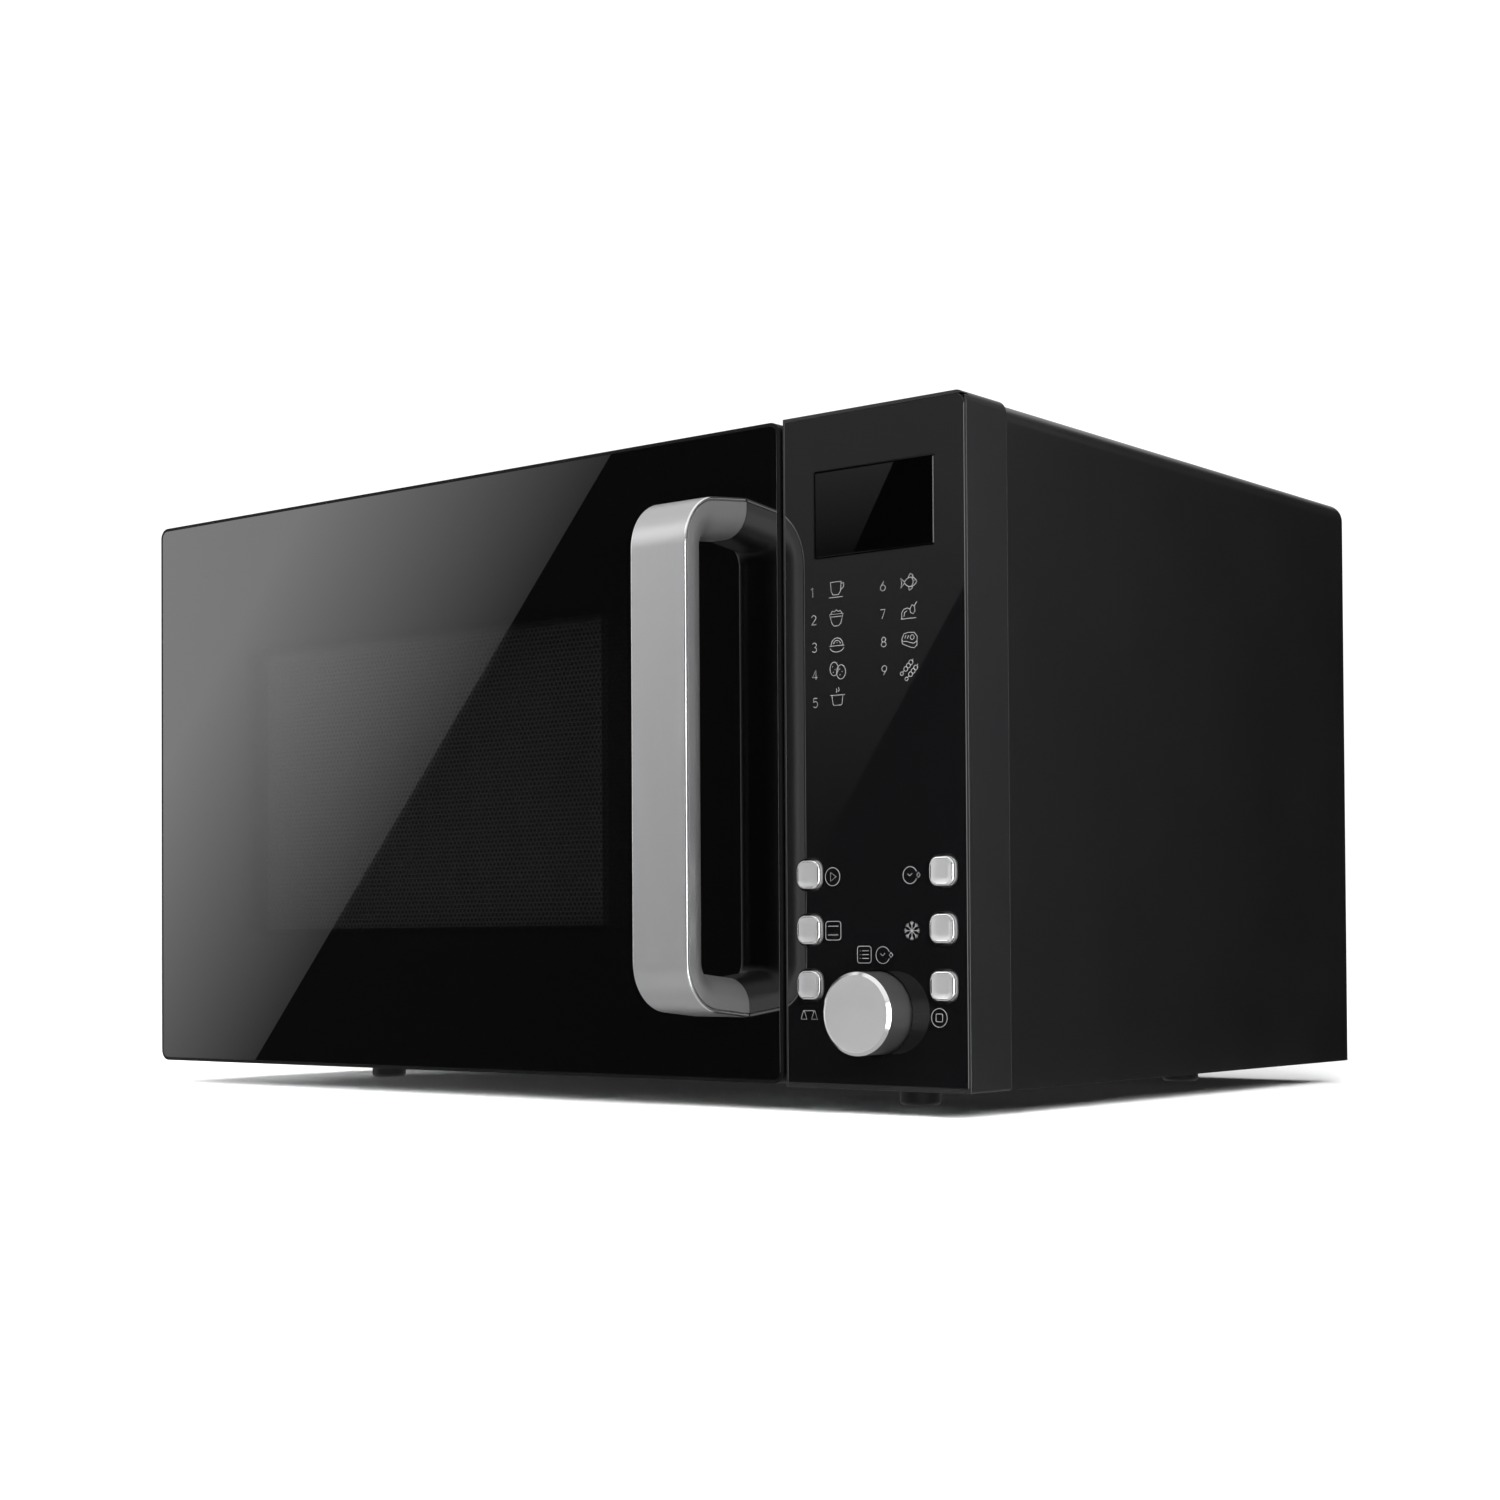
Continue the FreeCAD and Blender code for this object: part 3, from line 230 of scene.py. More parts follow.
def finish(name, base, roughness, metallic=0.0, **sockets):
    """A material with its even values set on the shader itself."""
    material = bpy.data.materials.new(name)
    material.use_nodes = True
    shader = material.node_tree.nodes["Principled BSDF"]
    shader.inputs["Base Color"].default_value = colour(base)
    shader.inputs["Roughness"].default_value = roughness
    shader.inputs["Metallic"].default_value = metallic
    for key, value in sockets.items():
        shader.inputs[key.replace("_", " ")].default_value = value
    return material


def drive(material, socket, output):
    shader = material.node_tree.nodes["Principled BSDF"]
    material.node_tree.links.new(output, shader.inputs[socket])


def mottle(material, grain, stretch=(1, 1, 1), detail=3):
    """A cloudy pattern, its grain in millimetres, drawn out along an axis by a stretch over 1."""
    place = add(material, "ShaderNodeTexCoord")
    turned = add(material, "ShaderNodeMapping", {
        "Vector": place.outputs["Object"], "Scale": [1 / s for s in stretch]})
    return add(material, "ShaderNodeTexNoise", {
        "Vector": turned.outputs["Vector"], "Scale": 1 / (grain * MM), "Detail": detail})


def cloudy_gloss(material, grain, low, high, stretch=(1, 1, 1)):
    """Roughness that drifts between two values over patches of that many millimetres."""
    cloud = mottle(material, grain, stretch)
    level = add(material, "ShaderNodeMapRange", {
        "Value": cloud.outputs["Fac"], "From Min": 0.3, "From Max": 0.7,
        "To Min": low, "To Max": high})
    drive(material, "Roughness", level.outputs["Result"])


def relief(material, grain, height, stretch=(1, 1, 1)):
    """Fine bumps of that grain and height in millimetres."""
    cloud = mottle(material, grain, stretch)
    bump = add(material, "ShaderNodeBump", {
        "Height": cloud.outputs["Fac"], "Distance": height * MM, "Strength": 1.0})
    drive(material, "Normal", bump.outputs["Normal"])


def patchy_colour(material, grain, dark, light, stretch=(1, 1, 1), detail=3):
    """Colour that drifts between two hex colours over patches of that many millimetres."""
    cloud = mottle(material, grain, stretch, detail)
    mix = add(material, "ShaderNodeMix", {
        0: cloud.outputs["Fac"], 6: colour(dark), 7: colour(light)}, data_type="RGBA")
    drive(material, "Base Color", mix.outputs[2])


# ---------------------------------------------------------------- the frame

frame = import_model()
bpy.ops.object.select_all(action="DESELECT")

SLOT_OF = {part["node"]: part["material_slot"] for part in frame["record"]["subparts"]}

# ---------------------------------------------------------------- finishes

# Powder paint: sprayed and baked on sheet steel, satin with a fine orange peel.
powder_paint = finish("satin_powder_paint", "#101011", 0.34, IOR=1.5)
cloudy_gloss(powder_paint, 60, 0.30, 0.38)
relief(powder_paint, 1.6, 0.012)

# Zinc-coated sheet: pale crystals a few millimetres wide, each a little brighter or duller.
galvanised = finish("galvanised_sheet", "#9a9b9c", 0.38, 1.0)
spangle = add(galvanised, "ShaderNodeTexVoronoi", {
    "Vector": add(galvanised, "ShaderNodeTexCoord").outputs["Object"], "Scale": 1 / (7 * MM)})
spangle_tone = add(galvanised, "ShaderNodeMapRange", {
    "Value": add(galvanised, "ShaderNodeSeparateColor",
                 {"Color": spangle.outputs["Color"]}).outputs["Red"],
    "To Min": 0.28, "To Max": 0.46})
drive(galvanised, "Roughness", spangle_tone.outputs["Result"])
patchy_colour(galvanised, 18, "#85878a", "#b4b5b6")

# Oven enamel: grey, baked, smooth and wipeable, with a faint speckle.
enamel = finish("grey_oven_enamel", "#8c8c8a", 0.30)
patchy_colour(enamel, 1.2, "#80807e", "#989896")
relief(enamel, 2.5, 0.01)

# Bare steel: drawn or pressed, fine lines along it.
plain_steel = finish("drawn_steel", "#a9a9a8", 0.3, 1.0)
cloudy_gloss(plain_steel, 0.6, 0.24, 0.38, (1, 12, 1))

# Blackened screws: phosphate coated, with worn bright spots.
black_screw = finish("blackened_screw_steel", "#4b4b4d", 0.42, 1.0)
patchy_colour(black_screw, 0.9, "#3a3a3c", "#6a6a6c")

# Rubber: moulded, matt, with a soft bloom.
rubber = finish("moulded_rubber", "#161616", 0.55, Specular_IOR_Level=0.4)
patchy_colour(rubber, 3, "#111111", "#1f1f1f")
relief(rubber, 0.5, 0.02)

# High gloss ABS: mirror smooth out of a polished tool, a hint of flow ripple.
gloss_abs = finish("high_gloss_abs", "#161617", 0.16, IOR=1.54)
cloudy_gloss(gloss_abs, 45, 0.13, 0.20)
relief(gloss_abs, 22, 0.01)

# Satin ABS: the bezel, softer than the glass so that it frames it darkly.
satin_abs = finish("satin_black_abs", "#151516", 0.42, Specular_IOR_Level=0.35)
cloudy_gloss(satin_abs, 30, 0.38, 0.46)
relief(satin_abs, 0.7, 0.006)

# Matt black ABS: the thin rim round the door glass, which stays dark beside the bright glass.
matt_abs = finish("matt_black_abs", "#0b0b0c", 0.5, Specular_IOR_Level=0.06)
cloudy_gloss(matt_abs, 30, 0.46, 0.54)
relief(matt_abs, 0.7, 0.006)

# Spark-eroded ABS: hidden mouldings with a fine even grain.
grained_abs = finish("spark_grained_abs", "#191919", 0.5)
relief(grained_abs, 0.45, 0.03)
cloudy_gloss(grained_abs, 8, 0.45, 0.58)

# Door pane: toughened glass, black enamel printed behind its border, smoked in the window.
door_pane = finish("printed_door_glass", "#020202", 0.02, IOR=1.56)

# Clear plastic film and its faint haze.
clear_film = finish("clear_polyester_film", "#c9cbcc", 0.08, Alpha=0.12)
cloudy_gloss(clear_film, 30, 0.05, 0.14)

# Fascia pane: clear acrylic, printed black from behind, so the black lies under a hard gloss.
fascia_pane = finish("back_printed_acrylic", "#070708", 0.02, IOR=1.5)
cloudy_gloss(fascia_pane, 35, 0.012, 0.022)

# Display window: smoked acrylic, darker than the fascia round it.
smoked_acrylic = finish("smoked_acrylic", "#020202", 0.03, IOR=1.49, Alpha=0.94)
cloudy_gloss(smoked_acrylic, 20, 0.006, 0.012)

# Glass tray: pressed and toughened, slightly green at its edge.
tray_glass = finish("pressed_tray_glass", "#dfe9e6", 0.06, Alpha=0.35)
patchy_colour(tray_glass, 40, "#d5e2de", "#e8efec")
cloudy_gloss(tray_glass, 12, 0.04, 0.10)

# Handle lacquer: fine metallic flake under a satin clear coat.
silver_lacquer = finish("satin_silver_lacquer", "#a4a4a5", 0.34, 0.85)
flake = mottle(silver_lacquer, 0.25)
flake_tone = add(silver_lacquer, "ShaderNodeMapRange", {
    "Value": flake.outputs["Fac"], "To Min": 0.30, "To Max": 0.40})
drive(silver_lacquer, "Roughness", flake_tone.outputs["Result"])
patchy_colour(silver_lacquer, 0.4, "#9c9c9d", "#acacad")

# Anodised band: aluminium brushed lengthways, then etched to a satin.
anodised_band = finish("brushed_anodised_aluminium", "#9f9fa0", 0.36, 0.75)
cloudy_gloss(anodised_band, 0.5, 0.33, 0.41, (1, 1, 40))
relief(anodised_band, 0.4, 0.0015, (1, 1, 40))

# Diamond-cut aluminium: the bright rims and chamfers, cut after anodising.
cut_rim = finish("diamond_cut_aluminium", "#f2f2f2", 0.16, 1.0)
cloudy_gloss(cut_rim, 4, 0.13, 0.20)

# Bead-blasted aluminium: an even satin without lines, on the knob's face.
blasted_knob = finish("bead_blasted_aluminium", "#bbbbbc", 0.42, 0.75)
relief(blasted_knob, 0.35, 0.004)
cloudy_gloss(blasted_knob, 6, 0.40, 0.45)

# Turned aluminium: the knob's side. Its fine turning lines are real; its colour darker than its
# face is painted shade, where the side turns from the light.
turned_side_painted_shade = finish("turned_aluminium_painted_shade", "#868687", 0.34, 0.9)
cloudy_gloss(turned_side_painted_shade, 0.6, 0.30, 0.38, (1, 30, 1))

# Push buttons: chromed satin, dished, so they carry soft gradients.
satin_chrome = finish("satin_chrome_button", "#a9a9aa", 0.36, 0.6)
cloudy_gloss(satin_chrome, 3, 0.34, 0.39)

# Mica: pressed flakes, pearly and patchy.
mica_sheet = finish("pressed_mica", "#c2b79c", 0.45, Coat_Weight=0.3)
patchy_colour(mica_sheet, 5, "#a89c80", "#d8cfb8", detail=6)

# Quartz: frosted heater tube.
quartz_tube = finish("frosted_quartz", "#e4e0d6", 0.35, Alpha=0.8)
patchy_colour(quartz_tube, 6, "#d8d3c8", "#efebe2")

# Nylon: moulded wheels and coupler, slightly waxy.
white_nylon = finish("white_moulded_nylon", "#dddcd8", 0.42, Subsurface_Weight=0.1)
patchy_colour(white_nylon, 6, "#d6d5d0", "#e4e3df")
grey_nylon = finish("grey_moulded_nylon", "#8a8a88", 0.45)
patchy_colour(grey_nylon, 6, "#828280", "#939391")
relief(grey_nylon, 0.5, 0.01)

# Circuit board: green solder resist over copper tracks a millimetre apart.
resist = finish("green_solder_resist", "#1d4a2a", 0.32, Coat_Weight=0.4)
tracks = add(resist, "ShaderNodeTexBrick", {
    "Vector": add(resist, "ShaderNodeTexCoord").outputs["Object"], "Scale": 1 / (4 * MM),
    "Color1": colour("#1d4a2a"), "Color2": colour("#235a33"), "Mortar": colour("#2f7040"),
    "Mortar Size": 0.06})
drive(resist, "Base Color", tracks.outputs["Color"])

# Pressed motor can: drawn zinc-plated steel with draw lines.
motor_can = finish("drawn_zinc_plate", "#96979a", 0.33, 1.0)
cloudy_gloss(motor_can, 0.8, 0.27, 0.42, (1, 1, 10))

# Laminations: half-millimetre steel sheets seen on edge, drawn at one millimetre to show.
laminated = finish("stacked_laminations", "#55524f", 0.5, 0.8)
sheets = add(laminated, "ShaderNodeTexWave", {
    "Vector": add(laminated, "ShaderNodeTexCoord").outputs["Object"],
    "Scale": 1 / (6.3 * MM)}, bands_direction="Y")
seams = add(laminated, "ShaderNodeBump", {
    "Height": sheets.outputs["Fac"], "Distance": 0.15 * MM})
drive(laminated, "Normal", seams.outputs["Normal"])
patchy_colour(laminated, 9, "#474442", "#63605c")

# Enamelled copper: half-millimetre wire wound in layers, drawn at one millimetre to show.
copper = finish("enamelled_copper_wire", "#a85a2a", 0.3, 0.85, Coat_Weight=0.5)
turns = add(copper, "ShaderNodeTexWave", {
    "Vector": add(copper, "ShaderNodeTexCoord").outputs["Object"],
    "Scale": 1 / (6.3 * MM)}, bands_direction="Z")
wound = add(copper, "ShaderNodeBump", {"Height": turns.outputs["Fac"], "Distance": 0.3 * MM})
drive(copper, "Normal", wound.outputs["Normal"])
patchy_colour(copper, 5, "#94491f", "#bd6e3c")

# Bulb: thin clear glass.
bulb_glass = finish("thin_bulb_glass", "#f2f0e6", 0.05, Alpha=0.4)
cloudy_gloss(bulb_glass, 10, 0.03, 0.08)

# Screen print: a light grey ink, dense and matt on the gloss.
print_ink = finish("grey_screen_print", "#7b7b7c", 0.6)
patchy_colour(print_ink, 0.8, "#747475", "#838384")

# Screen sheet: perforated steel with a thin dark grey coat.
screen_coat = finish("coated_screen_sheet", "#929293", 0.5)
patchy_colour(screen_coat, 12, "#8c8c8d", "#989899")

SLOT_FINISH = {
    "black_paint": powder_paint, "zinc_steel": galvanised, "oven_enamel": enamel,
    "bare_steel": plain_steel, "screw_steel": black_screw, "foot_rubber": rubber,
    "black_gloss": gloss_abs, "black_moulding": grained_abs, "door_pane": door_pane,
    "clear_film": clear_film, "fascia_pane": fascia_pane, "display_pane": smoked_acrylic,
    "tray_pane": tray_glass, "handle_silver": silver_lacquer, "handle_band": anodised_band,
    "knob_silver": blasted_knob, "button_silver": satin_chrome, "mica": mica_sheet,
    "quartz": quartz_tube, "white_nylon": white_nylon, "grey_nylon": grey_nylon,
    "circuit_board": resist, "motor_zinc": motor_can, "core_steel": laminated,
    "copper_coil": copper, "lamp_glass": bulb_glass,
}

# The pane's window shows the screen through smoked glass; the print fades out round it.
DOOR_LOW, DOOR_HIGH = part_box("door_glass")
SCREEN_LOW, SCREEN_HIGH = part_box("door_screen")
window_fades = (  # axis, where the print begins to clear, where the glass is clear
    ("X", SCREEN_LOW.x - 1 * MM, SCREEN_LOW.x + 22 * MM),
    ("X", SCREEN_HIGH.x + 3 * MM, SCREEN_HIGH.x),
    ("Z", SCREEN_LOW.z, SCREEN_LOW.z + 5 * MM),
    ("Z", SCREEN_HIGH.z, SCREEN_HIGH.z - 9 * MM),
)
pane_place = add(door_pane, "ShaderNodeSeparateXYZ", {
    "Vector": add(door_pane, "ShaderNodeTexCoord").outputs["Object"]})
clear = None
for axis, printed, bare in window_fades:
    fade = add(door_pane, "ShaderNodeMapRange", {
        "Value": pane_place.outputs[axis], "From Min": printed, "From Max": bare},
        interpolation_type="SMOOTHSTEP").outputs["Result"]
    clear = fade if clear is None else add(
        door_pane, "ShaderNodeMath", {0: clear, 1: fade}, operation="MULTIPLY").outputs[0]
# Painted reflection: a band of the window by the handle is made less clear, standing in for the
# dark reflection seen in the glass there.
painted_dark_reflection = add(door_pane, "ShaderNodeMapRange", {  # painted dark reflection: the window made less clear by the handle
    "Value": pane_place.outputs["X"], "From Min": SCREEN_HIGH.x - 22 * MM,
    "From Max": SCREEN_HIGH.x - 21 * MM, "To Min": 1.0, "To Max": 0.35}).outputs["Result"]
shown = add(door_pane, "ShaderNodeMath", {0: clear, 1: painted_dark_reflection}, operation="MULTIPLY").outputs[0]
pane_alpha = add(door_pane, "ShaderNodeMapRange", {
    "Value": shown, "To Min": 1.0, "To Max": 0.62})
drive(door_pane, "Alpha", pane_alpha.outputs["Result"])
pane_gloss = add(door_pane, "ShaderNodeMath", {  # clear glass reflects as much as printed glass
    0: 0.5, 1: pane_alpha.outputs["Result"]}, operation="DIVIDE")
drive(door_pane, "Specular IOR Level", pane_gloss.outputs[0])
cloudy_gloss(door_pane, 70, 0.002, 0.006)

# Polished chamfers: the thin cut edges of pane, bezel and sheet, which catch one bright line.
bright_chamfer = finish("polished_black_chamfer", "#0a0a0b", 0.2, Specular_IOR_Level=0.9)
cloudy_gloss(bright_chamfer, 9, 0.17, 0.24)

for node, obj in frame["nodes"].items():
    obj.data.materials.clear()
    obj.data.materials.append(SLOT_FINISH[SLOT_OF[node]])

# ---------------------------------------------------------------- case, door and fascia

eased("case_wrap", "outer_wrap", 0.7, powder_paint, bright_chamfer, segments=1, angle=50)
eased("door_surround", "door_frame", 0.9, matt_abs)
eased("door_front_glass", "door_glass", 1.5, door_pane, bright_chamfer, segments=1)
eased("panel_bezel", "control_bezel", 1.0, satin_abs, bright_chamfer, segments=1)
eased("panel_fascia", "control_fascia", 0.5, fascia_pane, segments=1)
eased("display_lens", "display_window", 0.4, smoked_acrylic, segments=1)
eased("feet", "rubber_feet", 0.6, rubber, segments=3)
eased("handle_band", "handle_strip", 0.7, anodised_band, cut_rim, segments=3)
eased("handle_body", "handle_grip", 0.5, silver_lacquer)

# The door screen: a thin sheet with round holes in staggered rows. The real holes are finer;
# 2.4 millimetres apart is as fine as a view of the whole oven shows.
HOLE_PITCH = 2.4 * MM
HOLE_RADIUS = 0.86 * MM
ROW_STEP = HOLE_PITCH * math.sqrt(3) / 2
PLAIN_EDGE = 4 * MM


def perforated_screen():
    """One six-sided cell with a six-sided hole, repeated along a row, then as pairs of rows."""
    columns = int((SCREEN_HIGH.x - SCREEN_LOW.x - 2 * PLAIN_EDGE) / HOLE_PITCH)
    pairs = int((SCREEN_HIGH.z - SCREEN_LOW.z - 2 * PLAIN_EDGE) / ROW_STEP / 2)
    start = Vector((SCREEN_LOW.x + PLAIN_EDGE + HOLE_PITCH / 2, SCREEN_LOW.y,
                    SCREEN_LOW.z + PLAIN_EDGE + HOLE_PITCH / 2))
    bpy.ops.mesh.primitive_circle_add(
        vertices=6, radius=HOLE_PITCH / math.sqrt(3), fill_type="NGON", location=start,
        rotation=(math.pi / 2, 0, 0))
    cell = newest("perforated_screen")
    settle(cell)
    edit(cell)
    bpy.ops.mesh.select_all(action="SELECT")
    bpy.ops.transform.rotate(value=math.radians(30), orient_axis="Y", center_override=start)
    bpy.ops.mesh.inset(thickness=HOLE_PITCH / 2 - HOLE_RADIUS * math.cos(math.pi / 6))
    bpy.ops.mesh.delete(type="FACE")
    bpy.ops.object.mode_set(mode="OBJECT")
    other_row = twin(cell, "other_row")
    edit(other_row)
    bpy.ops.mesh.select_all(action="SELECT")
    bpy.ops.transform.translate(value=(HOLE_PITCH / 2, 0, ROW_STEP))
    bpy.ops.object.mode_set(mode="OBJECT")
    pick(cell)
    other_row.select_set(True)
    bpy.ops.object.join()
    for count, step in ((columns, (HOLE_PITCH, 0, 0)), (pairs, (0, 0, 2 * ROW_STEP))):
        modify(cell, "ARRAY", count=count, use_relative_offset=False,
               use_constant_offset=True, constant_offset_displace=step,
               use_merge_vertices=True, merge_threshold=0.02 * MM)
    fit(cell, "door", "black_paint", screen_coat, "door_screen")


perforated_screen()


# ---------------------------------------------------------------- knob and push buttons


def turned_knob():
    """A solid turned knob with a wide cut chamfer round a blasted face."""
    low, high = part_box("control_knob")
    radius, length = (high.x - low.x) / 2, high.y - low.y
    bpy.ops.mesh.primitive_cylinder_add(
        vertices=128, radius=radius, depth=length, location=(low + high) / 2,
        rotation=(math.pi / 2, 0, 0))
    knob = newest("turned_knob")
    settle(knob)
    knob.data.materials.append(blasted_knob)
    knob.data.materials.append(cut_rim)
    knob.data.materials.append(turned_side_painted_shade)
    edit(knob)
    # The side takes the darker aluminium, painted shade.
    choose(knob, lambda f: abs(f.normal.y) < 0.1)
    knob.active_material_index = 2
    bpy.ops.object.material_slot_assign()
    choose(knob, lambda e: all(abs(v.co.y - low.y) < 0.1 * MM for v in e.verts), "edges")
    bpy.ops.mesh.bevel(offset=1.75 * MM, offset_type="WIDTH", segments=1)
    choose(knob, lambda f: 0.3 < -f.normal.y < 0.9)
    knob.active_material_index = 1
    bpy.ops.object.material_slot_assign()
    choose(knob, lambda f: f.normal.y < -0.99 and len(f.verts) > 8)
    bpy.ops.mesh.inset(thickness=0.25 * MM)
    bpy.ops.mesh.inset(thickness=0.15 * MM, depth=-0.12 * MM)
    choose(knob, lambda f: f.normal.y > 0.99 and len(f.verts) > 8)
    bpy.ops.mesh.inset(thickness=1.2 * MM)
    bpy.ops.mesh.extrude_region_move(TRANSFORM_OT_translate={"value": (0, -2.0 * MM, 0)})
    done(knob, 25)
    fit(knob, "knob", "knob_silver", blasted_knob, "control_knob")


turned_knob()


def push_button():
    """A squared round cap with a bright rim round a dished face, its flange and its stem."""
    low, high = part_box("button_start")
    middle = (low + high) / 2
    half, flange_half, front = 5.8 * MM, 7.4 * MM, low.y
    cap_back, flange_back = front + 7.4 * MM, front + 8.6 * MM
    cap = box_at("button_cap", (middle.x - half, front, middle.z - half),
                 (middle.x + half, cap_back, middle.z + half))
    cap.data.materials.append(satin_chrome)
    cap.data.materials.append(cut_rim)
    edit(cap)
    choose(cap, lambda e: abs(e.verts[0].co.y - e.verts[1].co.y) > 5 * MM, "edges")
    bpy.ops.mesh.bevel(offset=4.0 * MM, segments=12)
    choose(cap, lambda e: all(abs(v.co.y - front) < 0.01 * MM for v in e.verts), "edges")
    bpy.ops.mesh.bevel(offset=0.9 * MM, segments=5)
    choose(cap, lambda f: f.normal.y < -0.999 and len(f.verts) > 8)
    for thickness, depth in ((0.25, -0.12), (0.7, -0.32), (0.8, -0.20), (0.8, -0.10)):
        bpy.ops.mesh.inset(thickness=thickness * MM, depth=depth * MM)
    choose(cap, lambda f: f.normal.y > 0.999 and len(f.verts) > 8)
    bpy.ops.mesh.extrude_region_move(TRANSFORM_OT_translate={"value": (0, 0, 0)})
    flange_centre = Vector((middle.x, cap_back, middle.z))
    spread = flange_half / half
    bpy.ops.transform.resize(value=(spread, 1, spread), center_override=flange_centre)
    bpy.ops.mesh.extrude_region_move(
        TRANSFORM_OT_translate={"value": (0, flange_back - cap_back, 0)})
    bpy.ops.mesh.inset(thickness=4.9 * MM)
    bpy.ops.mesh.extrude_region_move(
        TRANSFORM_OT_translate={"value": (0, high.y - flange_back, 0)})

    def on_rim(face):
        centre = face.calc_center_median()
        return centre.y < front + 1.0 * MM and (
            max(abs(centre.x - middle.x), abs(centre.z - middle.z)) > 4.7 * MM
            and face.normal.y < -0.08)

    choose(cap, on_rim)
    cap.active_material_index = 1
    bpy.ops.object.material_slot_assign()
    done(cap, 40)
    return cap, middle


pattern_cap, cap_middle = push_button()
for use in ("start", "grill", "weight", "timer", "defrost", "stop"):
    node = "button_" + use
    button = pattern_cap if use == "start" else twin(pattern_cap, "cap_" + use)
    low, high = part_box(node)
    button.data.transform(Matrix.Translation((low + high) / 2 - cap_middle))
    button.name = button.data.name = "cap_" + use
    if use != "start":
        fit(button, node, "button_silver", satin_chrome, node)
fit(pattern_cap, "button_start", "button_silver", satin_chrome, "button_start")

# ---------------------------------------------------------------- printed signs

FASCIA_LOW, FASCIA_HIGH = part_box("control_fascia")
PRINT_WIDTH = 0.3   # millimetres
PRINT_DEPTH = 0.05


def arc(x, z, rx, rz, first, last, steps=16):
    """Points round part of an oval, angles in degrees from its right, upwards."""
    turns = [math.radians(first + (last - first) * i / steps) for i in range(steps + 1)]
    return [(x + rx * math.cos(t), z + rz * math.sin(t)) for t in turns]


def rounded(x, z, half, corner):
    """Points round a square with rounded corners, back to its first."""
    inner = half - corner
    points = []
    for sx, sz, first in ((1, 1, 0), (-1, 1, 90), (-1, -1, 180), (1, -1, 270)):
        points += arc(x + sx * inner, z + sz * inner, corner, corner, first, first + 90, 5)
    return points + points[:1]


def ring(x, z, rx, rz=None):
    return arc(x, z, rx, rz or rx, 0, 360, 28)


def timer_sign():
    """A clock face with a small diamond on its right."""
    return [arc(-0.6, 0, 3.3, 3.3, 24, 336, 28), [(-1.8, 0.6), (-0.7, -0.3), (0.4, 0.7)],
            [(2.5, 0), (3.3, 1.0), (4.1, 0), (3.3, -1.0), (2.5, 0)]]


def snowflake_sign():
    strokes = []
    for i in range(8):
        c, s = math.cos(i * math.pi / 4), math.sin(i * math.pi / 4)
        strokes.append([(0, 0), (3.6 * c, 3.6 * s)])
        strokes.append([(3.3 * c - 0.8 * s, 3.3 * s + 0.8 * c), (2.3 * c, 2.3 * s),
                        (3.3 * c + 0.8 * s, 3.3 * s - 0.8 * c)])
    return strokes


def potatoes_sign():
    strokes = [arc(-1.7, 0.7, 2.0, 2.7, 0, 360, 24), arc(1.7, -0.7, 2.2, 2.8, 0, 360, 24)]
    for x, z in ((-2.4, 1.6), (-1.2, 0.4), (-2.0, -0.6), (1.0, 0.4), (2.2, -0.6), (1.2, -1.8)):
        strokes.append([(x - 0.15, z - 0.15), (x + 0.15, z + 0.15)])
    return strokes


def skewers_sign():
    strokes = []
    for dx, dz in ((-1.1, 1.1), (1.1, -1.1)):
        strokes.append(ring(dx - 2.7, dz - 2.4, 0.7))
        strokes.append([(dx - 2.2, dz - 1.9), (dx - 1.4, dz - 1.1)])
        strokes.append([(dx + 2.0, dz + 2.3), (dx + 2.7, dz + 3.0)])
        for i in range(3):
            t = -0.8 + 1.2 * i
            strokes.append(arc(dx + t, dz + t + 0.1, 0.95, 0.95, 0, 360, 10))
    return strokes


